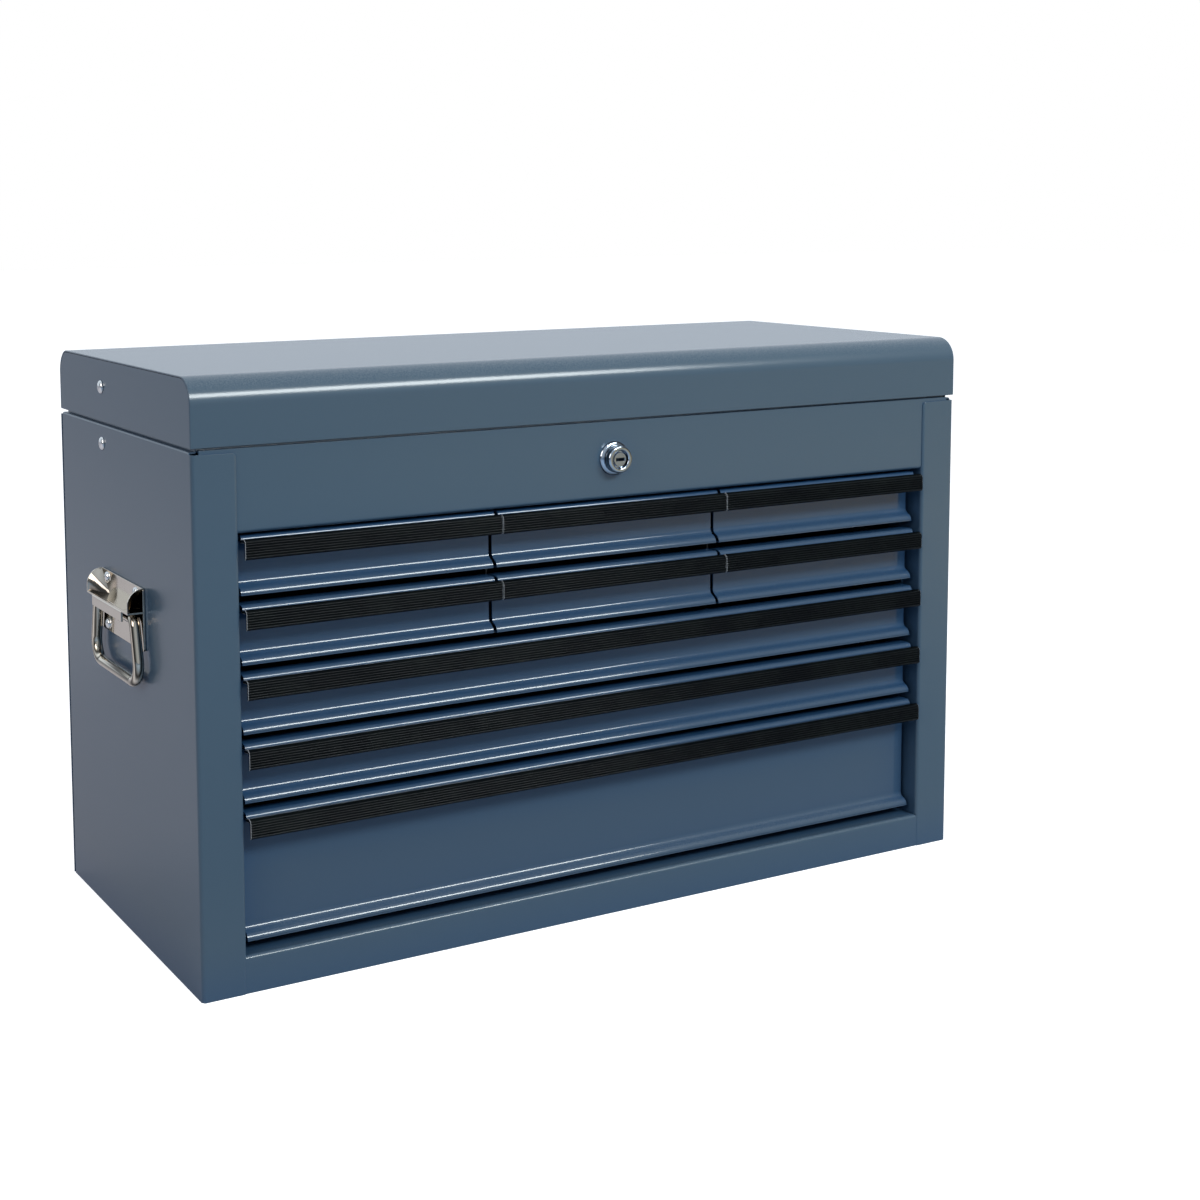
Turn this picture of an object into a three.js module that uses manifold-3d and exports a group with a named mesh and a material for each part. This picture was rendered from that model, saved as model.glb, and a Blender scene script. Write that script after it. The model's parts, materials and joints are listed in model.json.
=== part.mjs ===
// Machinist tool chest: a bent sheet steel case with a hinged lid over a till, nine drawers
// on telescopic slides, a key lock, drawer lock rods, folding lid stays and two drop handles.
// Millimetres. X runs to the right, Y to the back and Z up.
// The origin is the middle of the underside of the case.

import * as THREE from 'three';
import { mergeVertices } from 'three/addons/utils/BufferGeometryUtils.js';
import Module from 'manifold-3d';

// Driving dimensions of the whole chest
const caseWidth = 660;            // over the side walls
const caseDepth = 295;            // from the front of the posts to the rear flanges
const caseHeight = 375;           // from the floor to the shoulder under the lid
const lidHeight = 46;             // from the lower edge of the lid to its top
const lidSeam = 3;                // open seam between the case and the lid

// Sheet metal
const caseSheet = 1.2;            // walls, rails and lid
const drawerSheet = 1;            // drawers, dividers and shelf
const sheetBend = 1.5;            // inside radius of a bend
const joinGap = 0.3;              // clearance between pieces that are joined
const overlap = 0.4;              // how far one shape enters another that it is fused to
const overrun = 5;                // how far a cutter passes the metal that it cuts

// Front posts and rails
const postWidth = 32.5;           // front face of a post
const postReturn = 42;            // depth of the post beside the drawers
const postLip = 12;               // stiffening lip at the back of the post
const postDrop = 2;               // the post ends this far under the shoulder
const postCorner = 5;             // rounded upper corner of the post flange
const topRailHeight = 54.5;
const topRailReturn = 20;         // flange under the top rail
const bottomRailHeight = 26.5;
const bottomRailLedge = 24;       // ledge behind the top of the bottom rail
const bottomRailDrop = 9;         // lip under that ledge
const rearFlange = 12;            // side wall flange at the back
const rimInset = 4.5;             // dust rim, measured in from the outside of the case
const rimHeight = 8;              // dust rim, measured up from the shoulder

// Floors and partitions
const floorFlange = 10;           // upturned edges of the bottom panel and the till floor
const shelfFlange = 8;            // downturned edges of the shelf under the small drawers
const dividerFlange = 10;         // feet of a divider
const uprightWeb = 24;            // rear slide upright, along the depth
const floorRelief = 2.5;          // room round a lock channel where it passes a floor

// Drawer fronts
const columnCount = 3;            // columns of small drawers
const smallRows = 2;              // rows of small drawers
const wideRows = 2;               // rows of shallow drawers of the full width
const shallowFront = 40;          // height of a shallow front
const rowGap = 7.9;               // between one front and the next one under it
const firstGap = 4.6;             // between the top rail and the first row
const lastGap = 8.7;              // between the deep front and the bottom rail
const edgeGap = 3.7;              // between a front and a post
const columnGap = 2.8;            // between two fronts in a row
const panelRecess = 15;           // flat of the front, behind the face of the posts
const lipReach = 7.5;             // how far the lower lip flares out of the flat
const lipHeight = 3.9;            // upright edge of the lower lip
const flareHeight = 5.2;          // height of the flare above that edge
const flareBend = 3;              // easy bends of the flare
const hemFront = 5.5;             // front of the top hem, behind the face of the posts
const hemBack = 22;               // back of the top hem
const hemHeight = 4;              // thickness of the folded hem
const hemDrop = 6;                // downturned edge at the back of the hem

// Drawer trays
const rearSpace = 31;             // from the back of a tray to the back of the case
const trayDrop = 10;              // the tray's rim lies this far under the top of the front
const trayBend = 3;               // rounded upright corners of a tray

// Ribbed pulls
const pullOverhang = 1;           // past each end of the front
const pullReach = 4.9;            // stands this far before the posts
const pullHeight = 14;
const pullDrop = 0.8;             // the pull starts this far under the front's top
const pullWall = 2.4;             // thickness of the upper leg
const pullTip = 1.2;              // thickness at the lower edge
const pullShoulder = 3.2;         // rounded shoulder
const pullFillet = 2;             // inside corner
const ribCount = 10;
const ribDepth = 0.45;

// Telescopic slides. The wide drawers have a case member, a middle member and a drawer member,
// and the small drawers have a case member and a taller drawer member.
const slideLength = 240;
const slideStart = 24;            // front end, behind the face of the posts
const slideThickness = 10.5;      // from the tray to the back of the case member
const slideHeight = 30;           // case member
const slideRise = 17;             // centre line above the lower edge of the front
const slideSheet = 1.2;
const slideBend = 0.6;
const slideLipGap = 1.5;          // case member stops this far from the tray
const middleHeight = 22.4;        // middle member
const middleGap = 1;              // middle member stops this far from the tray
const middleDepth = 6.9;
const runnerHeight = 14.8;        // drawer member of a wide drawer
const runnerDepth = 5.5;
const tallRunnerHeight = 22.4;    // drawer member of a small drawer
const tallRunnerDepth = 7;
const ballRowWidth = 3;           // rows of balls between the members
const ballRowInset = 1.6;         // from the edge of the middle member
const footLength = 12;            // mounting feet of the outer slides
const footHeight = 12;
const footInset = 3;              // from the ends of the slide

// Lock rods and their channels on the back panel. The hooks drop in front of the back walls of the trays.
const rodColumnShares = [-0.245, 0, 0.245];  // of the case width, from the middle
const channelWidth = 20;
const channelDepth = 14;
const channelFlange = 10;
const channelFoot = 4;            // above the bottom panel
const channelTop = 2;             // under the shoulder of the case
const channelTab = 14;            // flared tab at the top of a channel
const channelTabReach = 6;
const rodWidth = 9;
const rodThickness = 3;
const rodSpace = 0.5;             // between the rod and the crown of its channel
const rodRise = 11;               // above the shoulder of the case
const rodTravel = 6;
const hookWidth = 4;              // hook of a rod
const hookFinger = 10;            // height of its downturned finger
const hookThickness = 3;
const hookSpace = 2;              // running space round the hook in its slot
const hookClearance = 1;          // from the raised finger to the back wall of a tray
const hookPlay = 3;               // from the finger to the face of that wall

// Lid
const lidRadius = 18;             // outside radius along the front and the back
const lidHem = 9;                 // folded edge inside the front and the back
const capFlange = 8;              // spot weld flange round an end cap

// Piano hinge
const hingeWidth = 600;
const hingeLeaf = 17;             // height of one leaf
const hingeSheet = 1;
const hingeBarrel = 2.6;          // outside radius of the knuckles
const hingePin = 1.1;             // radius of the pin
const hingePlay = 0.3;
const knucklePairs = 6;

// Folding lid stays
const stayFromBack = 105.5;       // pivots, from the back of the case
const stayCaseDrop = 14.4;        // case pivot under the shoulder
const stayLidRise = 24.7;         // lid pivot above the lid's lower edge
const stayLink = 95.5;            // between the two pivots of a link
const stayWidth = 13;
const stayThickness = 1.5;
const staySpace = 1.4;            // between the dust rim and the links
const stayRivet = 2.2;            // shank radius
const stayHead = 5;               // outer head radius
const stayHeadHeight = 2.2;
const stayCollar = 4.2;           // spacer between wall and link
const stayButton = 1.2;           // thickness of the clinched inner head

// Key lock in the top rail
const lockFlange = 13;            // radii
const lockCollar = 10.25;
const lockShank = 9;
const lockBore = 6.6;
const lockFlangeHeight = 1.6;
const lockReach = 9;              // collar, before the rail
const lockDepth = 20;             // shank, behind the rail
const lockChamfer = 1.4;
const lockNut = 12.5;
const lockNutHeight = 3;
const plugClearance = 0.3;
const plugInset = 1.2;            // plug face inside the collar
const keyholeWidth = 7;
const keyholeHeight = 1.4;
const keyholeDepth = 4;
const camLength = 22;
const camWidth = 10;
const camThickness = 2;
const camBehind = 0.8;            // from the shank to the cam
const camHook = 13;               // reach of its hooked end, from the middle of the arm
const camHookWidth = 6.5;

// Strike on the lid, which the cam enters
const strikeOffset = 16;          // from the middle of the chest
const strikeFlange = 18;
const strikeSheet = 1.5;
const strikeRise = 22;            // top, above the lid's lower edge
const strikeInside = 3.3;         // clear of the dust rim
const strikeDepth = 25;           // front to back
const strikeLedge = 9;            // reach of the ledge under the hook of the cam
const strikeLedgeRise = 8;        // lower face of the ledge above the centre of the lock
const strikeLedgeDepth = 12;      // front to back

// Drop handles on the side walls
const handleLength = 95;
const handleTop = 267;            // upper edge, from the floor
const handlePlate = 45.5;         // height
const handleSheet = 1.5;
const handleReach = 13.6;         // of the shelf and its band
const shelfDrop = 16.5;           // top of the shelf under the upper edge
const bandLength = 68;
const bandDrop = 8.5;
const earFold = 18;               // foot of an ear, in from the end of the plate
const bailWire = 4;               // radius
const bailTopHalf = 41.5;
const bailBottomHalf = 52;
const bailDrop = 46;
const bailTopBend = 7;
const bailBottomBend = 14;
const bailEndGap = 2;             // between the two ends of the wire
const bailPlay = 0.5;
const handleRivetSpread = 65.6;
const handleRivetInset = 5.2;     // from the upper and lower edges of the plate
const handleRivetHead = 4;
const handleRivetHeight = 1.8;
const handleRivetShank = 2;

// Planes and levels that several pieces share
const right = caseWidth / 2;
const back = caseDepth / 2;
const front = -back;
const shoulder = caseHeight;
const openingHalf = right - postWidth;
const openingTop = caseHeight - topRailHeight;
const openingBottom = bottomRailHeight;
const wallInside = right - caseSheet;
const railFace = front + caseSheet + joinGap;
const railBack = railFace + caseSheet;
const backInside = back - caseSheet;
const flangeBack = backInside - joinGap;
const floorBack = flangeBack - caseSheet - sheetBend;
const floorEdge = right - caseSheet - joinGap;
const rimInside = right - rimInset - caseSheet;
const railHalf = rimInside - joinGap;
const postTop = shoulder - postDrop;
const tillFloor = openingTop + caseSheet + joinGap;
const rowPitch = shallowFront + rowGap;
const firstTop = openingTop - firstGap;
const shallowRows = smallRows + wideRows;
const deepFront = firstTop - shallowRows * rowPitch - openingBottom - lastGap;
const smallPanel = (2 * (openingHalf - edgeGap) - (columnCount - 1) * columnGap) / columnCount;
const widePanel = 2 * (openingHalf - edgeGap);
const columnPitch = smallPanel + columnGap;
const dividerX = columnPitch / 2;
const frontOverhang = slideThickness - overlap + drawerSheet / 2 - columnGap / 2;
const slideEnd = slideStart + slideLength;
const smallSide = smallPanel / 2 - frontOverhang;
const wideSide = widePanel / 2 - frontOverhang;
const trayDepth = caseDepth - rearSpace - panelRecess;
const lidEdge = shoulder + lidSeam;
const lidTop = lidEdge + lidHeight;

// Pivots of the lid stays
const stayY = back - stayFromBack;
const stayCaseZ = shoulder - stayCaseDrop;
const stayLidZ = lidEdge + stayLidRise;

// Rivets of the handle plates, as places on the side wall
const handleBottom = handleTop - handlePlate;
const handleRivets = [-1, 1].flatMap((side) =>
  [handleTop - handleRivetInset, handleBottom + handleRivetInset]
    .map((z) => [side * handleRivetSpread / 2, z]));

// Materials
const finish = (color, roughness, metalness) =>
  new THREE.MeshStandardMaterial({ color, roughness, metalness, flatShading: true });
const paint = finish(0x55687a, 0.35, 0.1);
const frontPaint = finish(0x4a6080, 0.35, 0.1);
const pullBlack = finish(0x1b2124, 0.5, 0.1);
const zinc = finish(0xb4b8ba, 0.4, 0.9);
const chrome = finish(0xd2d2ce, 0.15, 1);

const wasm = await Module();
wasm.setup();

// Turns a closed three.js geometry into a solid that can be joined and cut
function toSolid(geometry) {
  const bare = geometry.clone();
  bare.deleteAttribute('normal');
  bare.deleteAttribute('uv');
  const merged = mergeVertices(bare);
  const corners = Array.from(merged.index.array);
  const kept = [];
  for (let i = 0; i < corners.length; i += 3) {
    const [a, b, c] = corners.slice(i, i + 3);
    if (a !== b && b !== c && c !== a) kept.push(a, b, c);
  }
  return new wasm.Manifold(new wasm.Mesh({
    numProp: 3,
    vertProperties: new Float32Array(merged.attributes.position.array),
    triVerts: new Uint32Array(kept),
  }));
}

function toGeometry(solid) {
  const { vertProperties, triVerts } = solid.getMesh();
  const geometry = new THREE.BufferGeometry();
  geometry.setAttribute('position', new THREE.BufferAttribute(vertProperties, 3));
  geometry.setIndex(new THREE.BufferAttribute(triVerts, 1));
  geometry.computeVertexNormals();
  return geometry;
}

const join = (...solids) => solids.flat().reduce((whole, piece) => whole.add(piece));
const cut = (whole, ...tools) => tools.flat().reduce((rest, tool) => rest.subtract(tool), whole);

// Gives a solid moved by a vector, or reflected in the plane x = 0
function moved(solid, x, y, z) {
  return toSolid(toGeometry(solid).translate(x, y, z));
}

function mirrored(solid) {
  const geometry = toGeometry(solid).scale(-1, 1, 1);
  const index = geometry.index.array;
  for (let i = 0; i < index.length; i += 3) [index[i], index[i + 1]] = [index[i + 1], index[i]];
  return toSolid(geometry);
}

const bothSides = (solid) => [mirrored(solid), solid];

// An outline pushed along one axis, between two places on that axis
const axisX = new THREE.Vector3(1, 0, 0);
const axisY = new THREE.Vector3(0, 1, 0);
const axisZ = new THREE.Vector3(0, 0, 1);

function push(outline, length) {
  const shape = new THREE.Shape(outline.map(([a, b]) => new THREE.Vector2(a, b)));
  return new THREE.ExtrudeGeometry(shape, { depth: length, bevelEnabled: false });
}

// Outline in Y and Z
function alongX(outline, from, to) {
  const turn = new THREE.Matrix4().makeBasis(axisY, axisZ, axisX);
  return toSolid(push(outline, to - from).applyMatrix4(turn).translate(from, 0, 0));
}

// Outline in X and Z
function alongY(outline, from, to) {
  const turn = new THREE.Matrix4().makeBasis(axisX, axisZ, axisY.clone().negate());
  return toSolid(push(outline, to - from).applyMatrix4(turn).translate(0, to, 0));
}

// Outline in X and Y
function alongZ(outline, from, to) {
  return toSolid(push(outline, to - from).translate(0, 0, from));
}

function block([x0, x1], [y0, y1], [z0, z1]) {
  const geometry = new THREE.BoxGeometry(x1 - x0, y1 - y0, z1 - z0);
  return toSolid(geometry.translate((x0 + x1) / 2, (y0 + y1) / 2, (z0 + z1) / 2));
}

const rectangle = (a0, a1, b0, b1) => [[a0, b0], [a1, b0], [a1, b1], [a0, b1]];

function circle(a, b, radius, sides) {
  return Array.from({ length: sides }, (_, i) => {
    const angle = (i / sides) * 2 * Math.PI;
    return [a + radius * Math.cos(angle), b + radius * Math.sin(angle)];
  });
}

// One corner of a path, rounded by an arc of a few chords
function roundedCorner(path, i, radius, chords) {
  const here = new THREE.Vector2(...path[i]);
  if (i === 0 || i === path.length - 1 || radius <= 0) return [[here.x, here.y]];
  const toPrevious = new THREE.Vector2(...path[i - 1]).sub(here).normalize();
  const toNext = new THREE.Vector2(...path[i + 1]).sub(here).normalize();
  const half = Math.acos(THREE.MathUtils.clamp(toPrevious.dot(toNext), -1, 1)) / 2;
  const middle = toPrevious.clone().add(toNext).normalize();
  const centre = here.clone().addScaledVector(middle, radius / Math.sin(half));
  const start = here.clone().addScaledVector(toPrevious, radius / Math.tan(half)).sub(centre);
  const sweep = Math.sign(start.cross(middle.clone().negate())) * (Math.PI - 2 * half);
  return Array.from({ length: chords + 1 }, (_, k) => {
    const angle = (k / chords) * sweep;
    const [c, s] = [Math.cos(angle), Math.sin(angle)];
    return [centre.x + start.x * c - start.y * s, centre.y + start.x * s + start.y * c];
  });
}

// A closed outline with every corner rounded
function roundedOutline(outline, radius, chords) {
  const count = outline.length;
  return outline.flatMap((_, i) => {
    const corner = [outline[(i + count - 1) % count], outline[i], outline[(i + 1) % count]];
    return roundedCorner(corner, 1, radius, chords);
  });
}

// The path moved to its left by a distance, with mitred corners
function offsetPath(path, distance) {
  const points = path.map(([a, b]) => new THREE.Vector2(a, b));
  const normals = points.slice(1).map((p, i) => {
    const along = p.clone().sub(points[i]).normalize();
    return new THREE.Vector2(-along.y, along.x);
  });
  return points.map((p, i) => {
    const before = normals[Math.max(i - 1, 0)];
    const after = normals[Math.min(i, normals.length - 1)];
    const mitre = before.clone().add(after).normalize();
    const moved = p.clone().addScaledVector(mitre, distance / mitre.dot(after));
    return [moved.x, moved.y];
  });
}

// The section of a bent sheet. The path is one face of it and the metal lies to the left.
// A point may carry an inside bend radius of its own.
function bentSheet(path, thickness, bend = sheetBend, chords = 2) {
  const inner = offsetPath(path, thickness);
  const face = [];
  const behind = [];
  path.forEach(([a, b, ownBend = bend], i) => {
    const [previous, next] = [path[Math.max(i - 1, 0)], path[Math.min(i + 1, path.length - 1)]];
    const turn = (a - previous[0]) * (next[1] - b) - (b - previous[1]) * (next[0] - a);
    const [onFace, onInner] = turn > 0 ? [ownBend + thickness, ownBend]
      : [ownBend, ownBend + thickness];
    const flat = path.map(([x, y]) => [x, y]);
    const steps = ownBend > joinGap ? chords : 1;
    face.push(...roundedCorner(flat, i, onFace, steps));
    behind.push(...roundedCorner(inner, i, onInner, steps));
  });
  return [...face, ...behind.reverse()];
}

// A solid of revolution about an axis along Y. The profile is radius and place, closed on the
// axis or on itself.
function turnedY(profile, sides) {
  const points = profile.map(([radius, y]) => new THREE.Vector2(radius, y));
  return toSolid(new THREE.LatheGeometry(points, sides));
}

function turnedX(profile, sides) {
  const points = profile.map(([radius, x]) => new THREE.Vector2(radius, x));
  return toSolid(new THREE.LatheGeometry(points, sides).rotateZ(-Math.PI / 2));
}

// A wire bent through rounded corners. Its sections stand at the corners' chords only.
class WirePath extends THREE.Curve {
  constructor(points) {
    super();
    this.points = points;
  }

  getPoint(t, target = new THREE.Vector3()) {
    const place = t * (this.points.length - 1);
    const i = Math.min(Math.floor(place), this.points.length - 2);
    return target.lerpVectors(this.points[i], this.points[i + 1], place - i);
  }

  getTangent(t, target = new THREE.Vector3()) {
    const last = this.points.length - 1;
    const i = Math.round(t * last);
    const [from, to] = [this.points[Math.max(i - 1, 0)], this.points[Math.min(i + 1, last)]];
    return target.subVectors(to, from).normalize();
  }

  getUtoTmapping(u) {
    return u;
  }
}

// Side panels: wall, post with its return beside the drawers, rear flange and dust rim
function makeSidePanel() {
  const plan = bentSheet([
    [openingHalf + postLip, front + postReturn],
    [openingHalf, front + postReturn],
    [openingHalf, front],
    [right, front],
    [right, flangeBack],
    [right - rearFlange, flangeBack],
  ], caseSheet);
  const rim = bentSheet([
    [right, openingTop],
    [right, shoulder],
    [right - rimInset, shoulder],
    [right - rimInset, shoulder + rimHeight],
  ], caseSheet, joinGap);
  const behindFlange = [front + caseSheet + joinGap / 2, front + postReturn + overrun];
  const besideRail = [openingHalf - overrun, right - rimInset - caseSheet];
  const railRelief = block(besideRail, behindFlange, [openingTop - joinGap, shoulder + overrun]);
  const footRelief = block(besideRail, behindFlange, [-overrun, openingBottom + joinGap]);
  const corner = [
    [openingHalf - overrun, postTop + overrun],
    [openingHalf - overrun, postTop - postCorner],
    ...roundedCorner([[openingHalf, postTop - postCorner], [openingHalf, postTop],
      [openingHalf + postCorner, postTop]], 1, postCorner, 4),
    [openingHalf + postCorner, postTop + overrun],
  ];
  const holes = [[stayY, stayCaseZ, stayRivet],
    ...handleRivets.map(([y, z]) => [y, z, handleRivetShank])].map(([y, z, shank]) =>
    alongX(circle(y, z, shank + joinGap, 8), right - overrun, right + overrun));
  const wall = cut(alongZ(plan, 0, postTop), railRelief, footRelief,
    alongY(corner, front - overrun, front + overrun));
  return cut(join(wall, alongY(rim, front + rimInset, back - rimInset)), holes);
}

// Back panel outside the flanges of the side walls, with the shoulder and dust rim along its
// top and the lock channels welded inside
function makeBackPanel() {
  const section = bentSheet([
    [back, 0],
    [back, shoulder],
    [back - rimInset, shoulder],
    [back - rimInset, shoulder + rimHeight],
  ], caseSheet, joinGap);
  const wings = block([-right, right], [backInside, back], [0, postTop]);
  const channels = rodColumns.map((x) => moved(makeChannel(), x, 0, 0));
  return join(alongX(section, -railHalf, railHalf), wings, channels);
}

// A floor with upturned edges, from the front rail to the rear flanges
function makeFloor(z) {
  const section = bentSheet([
    [-floorEdge, z + caseSheet + floorFlange],
    [-floorEdge, z],
    [floorEdge, z],
    [floorEdge, z + caseSheet + floorFlange],
  ], caseSheet);
  return alongY(section, railBack + joinGap, floorBack);
}

function makeTopRail() {
  const section = bentSheet([
    [front + rimInset, shoulder + rimHeight],
    [front + rimInset, shoulder],
    [railFace, shoulder],
    [railFace, openingTop],
    [railFace + topRailReturn, openingTop],
  ], caseSheet, joinGap);
  const lockHole = alongY(circle(0, lockZ, lockShank + joinGap, 20),
    railFace - overrun, railFace + overrun);
  return cut(alongX(section, -railHalf, railHalf), lockHole);
}

function makeBottomRail() {
  const section = bentSheet([
    [railFace + bottomRailLedge, openingBottom - bottomRailDrop],
    [railFace + bottomRailLedge, openingBottom],
    [railFace, openingBottom],
    [railFace, 0],
  ], caseSheet);
  return alongX(section, -railHalf, railHalf);
}

// Till floor on the flange of the top rail, notched round the lock channels
const rodColumns = rodColumnShares.map((share) => share * caseWidth);
const channelInside = backInside + overlap - channelDepth;
const channelFace = channelInside - caseSheet;

function makeTillFloor() {
  const notchHalf = channelWidth / 2 + channelFlange + floorRelief;
  const notches = rodColumns.map((x) => block([x - notchHalf, x + notchHalf],
    [channelFace - floorRelief, back], [tillFloor - overrun, tillFloor + overrun]));
  return cut(makeFloor(tillFloor), notches);
}

// Shelf between the small drawers and the wide ones
const shelfZ = firstTop - smallRows * rowPitch + rowGap / 2;
const shelfFront = front + slideStart - footInset;
const shelfBack = front + slideEnd;

function makeShelf() {
  const edge = openingHalf - joinGap;
  const section = bentSheet([
    [edge, shelfZ - shelfFlange],
    [edge, shelfZ],
    [-edge, shelfZ],
    [-edge, shelfZ - shelfFlange],
  ], drawerSheet);
  const slotHalf = hookWidth / 2 + hookSpace;
  const slots = rodColumns.map((x) => block([x - slotHalf, x + slotHalf],
    [fingerFront - hookSpace, shelfBack + overrun], [shelfZ - overrun, shelfZ + overrun]));
  return cut(alongY(section, shelfFront, shelfBack), slots);
}

// A divider between two columns of small drawers, with a foot at each end and the case
// members of the slides welded to both faces
function makeDivider() {
  const half = drawerSheet / 2;
  const section = bentSheet([
    [dividerX + dividerFlange, tillFloor - joinGap],
    [dividerX - half, tillFloor - joinGap],
    [dividerX - half, shelfZ + joinGap],
    [dividerX + dividerFlange, shelfZ + joinGap],
  ], drawerSheet);
  const relief = block([dividerX - overrun, dividerX + dividerFlange + overrun],
    [front, railFace + topRailReturn + joinGap], [openingTop - joinGap, tillFloor]);
  const [leftMember, rightMember] = bothSides(slideBar(caseMember(), smallSide));
  const slides = rowBottoms.slice(0, smallRows).map((z) => [
    moved(rightMember, 0, front, z), moved(leftMember, columnPitch, front, z)]);
  return join(cut(alongY(section, shelfFront, shelfBack), relief), slides.flat());
}

// A rear upright with the case members of the outer slides. Their front feet seat on the post.
function makeSlideRack() {
  const plan = bentSheet([
    [openingHalf, front + slideEnd],
    [openingHalf, front + slideEnd - uprightWeb],
    [floorEdge, front + slideEnd - uprightWeb],
    [floorEdge, front + slideEnd],
  ], caseSheet);
  const upright = alongZ(plan, caseSheet + floorFlange + joinGap, tillFloor - joinGap);
  const outer = wideSide + slideThickness - overlap;
  const level = [slideRise - footHeight / 2, slideRise + footHeight / 2];
  const frontFoot = block([outer, openingHalf - joinGap],
    [slideStart + footInset, slideStart + footInset + footLength], level);
  const rearFoot = block([outer, openingHalf + overlap],
    [slideEnd - footInset - footLength, slideEnd - footInset], level);
  const member = join(slideBar(caseMember(), wideSide), frontFoot, rearFoot);
  return join(upright, rowBottoms.map((z) => moved(member, 0, front, z)));
}

// Slide sections. They start on the tray wall and grow towards the case.
function caseMember() {
  const half = slideHeight / 2;
  return bentSheet([
    [slideLipGap, -half], [slideThickness, -half], [slideThickness, half], [slideLipGap, half],
  ], slideSheet, slideBend, 1);
}

function middleMember() {
  const half = middleHeight / 2;
  const web = middleGap + middleDepth;
  return bentSheet([
    [middleGap, -half], [web, -half], [web, half], [middleGap, half],
  ], slideSheet, slideBend, 1);
}

function drawerMember(height, depth) {
  const half = height / 2;
  return bentSheet([
    [depth, half], [-overlap, half], [-overlap, -half], [depth, -half],
  ], slideSheet, slideBend, 1);
}

// The rows of balls that run in the case member, above and below, down to a given level
function ballRows(inner) {
  const outer = slideHeight / 2 - slideSheet - joinGap;
  const start = middleGap + ballRowInset;
  const end = start + ballRowWidth;
  return [rectangle(start, end, inner, outer), rectangle(start, end, -outer, -inner)];
}

// One slide bar beside the right wall of a tray, in the frame of its drawer
function slideBar(outline, traySide) {
  return alongY(outline.map(([u, v]) => [traySide + u, slideRise + v]), slideStart, slideEnd);
}

function middleSlide(traySide) {
  const rows = ballRows(runnerHeight / 2 + joinGap).map((row) => slideBar(row, traySide));
  return join(slideBar(middleMember(), traySide), rows);
}

function wideRunner(traySide) {
  return slideBar(drawerMember(runnerHeight, runnerDepth), traySide);
}

function smallRunner(traySide) {
  const rows = ballRows(tallRunnerHeight / 2 - overlap).map((row) => slideBar(row, traySide));
  return join(slideBar(drawerMember(tallRunnerHeight, tallRunnerDepth), traySide), rows);
}

// A drawer: front, tray and drawer members of the slides. The rim of the tray is lower than the
// front, so that the hooks of the lock rods pass over it.
// Local frame: middle of the front, face of the posts, lower edge of the front.
function makeDrawer(panel, height, runner) {
  const half = panel / 2;
  const traySide = half - frontOverhang;
  const section = bentSheet([
    [hemBack, height - hemDrop],
    [hemBack, height],
    [hemFront, height],
    [hemFront, height - hemHeight, joinGap],
    [panelRecess, height - hemHeight, joinGap],
    [panelRecess, lipHeight + flareHeight, flareBend],
    [panelRecess - lipReach, lipHeight, flareBend],
    [panelRecess - lipReach, 0, joinGap],
    [hemBack, 0],
  ], drawerSheet);
  const outside = roundedOutline(
    rectangle(-traySide, traySide, panelRecess, panelRecess + trayDepth), trayBend, 2);
  const inside = roundedOutline(rectangle(-traySide + drawerSheet, traySide - drawerSheet,
    panelRecess + drawerSheet, panelRecess + trayDepth - drawerSheet), trayBend - drawerSheet, 2);
  const rim = height - trayDrop;
  const tray = cut(alongZ(outside, 0, rim), alongZ(inside, drawerSheet, rim + overrun));
  return join(alongX(section, -half, half), tray, bothSides(runner(traySide)));
}

// A pull: an extruded strip that hooks over the front edge of the hem
function makePull(panel, height) {
  const top = height - pullDrop;
  const bottom = top - pullHeight;
  const faceTop = top - pullShoulder;
  const faceBottom = bottom + pullTip;
  const pitch = (faceTop - faceBottom) / ribCount;
  const ribs = Array.from({ length: ribCount }, (_, i) => [
    [-pullReach, faceTop - i * pitch],
    [-pullReach + ribDepth, faceTop - (i + 1 / 2) * pitch],
  ]).flat();
  const rear = hemFront - joinGap;
  const outline = [
    [rear, top],
    [pullShoulder - pullReach, top],
    [pullShoulder / 4 - pullReach, top - pullShoulder / 4],
    ...ribs,
    [-pullReach, faceBottom],
    [-pullReach + pullTip / 2, bottom],
    [-pullReach + pullTip * 2, bottom + pullTip],
    [-pullReach + pullWall, top - pullWall - pullFillet],
    [-pullReach + pullWall + pullFillet, top - pullWall],
    [rear, top - pullWall - pullTip],
  ];
  const half = panel / 2 + pullOverhang;
  return alongX(outline, -half, half);
}

// Lock channels: a hat section on the back panel, slotted where the hooks reach out
const channelBottom = caseSheet + channelFoot;
const rowBottoms = Array.from({ length: shallowRows + 1 }, (_, i) =>
  i < shallowRows ? firstTop - i * rowPitch - shallowFront : openingBottom + lastGap);
const rowHeights = rowBottoms.map((_, i) => i < shallowRows ? shallowFront : deepFront);
const rowArms = rowBottoms.map((z, i) =>
  z + rowHeights[i] - trayDrop + hookClearance + hookFinger);
const fingerBack = front + panelRecess + trayDepth - drawerSheet - hookPlay;
const fingerFront = fingerBack - hookThickness;

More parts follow.
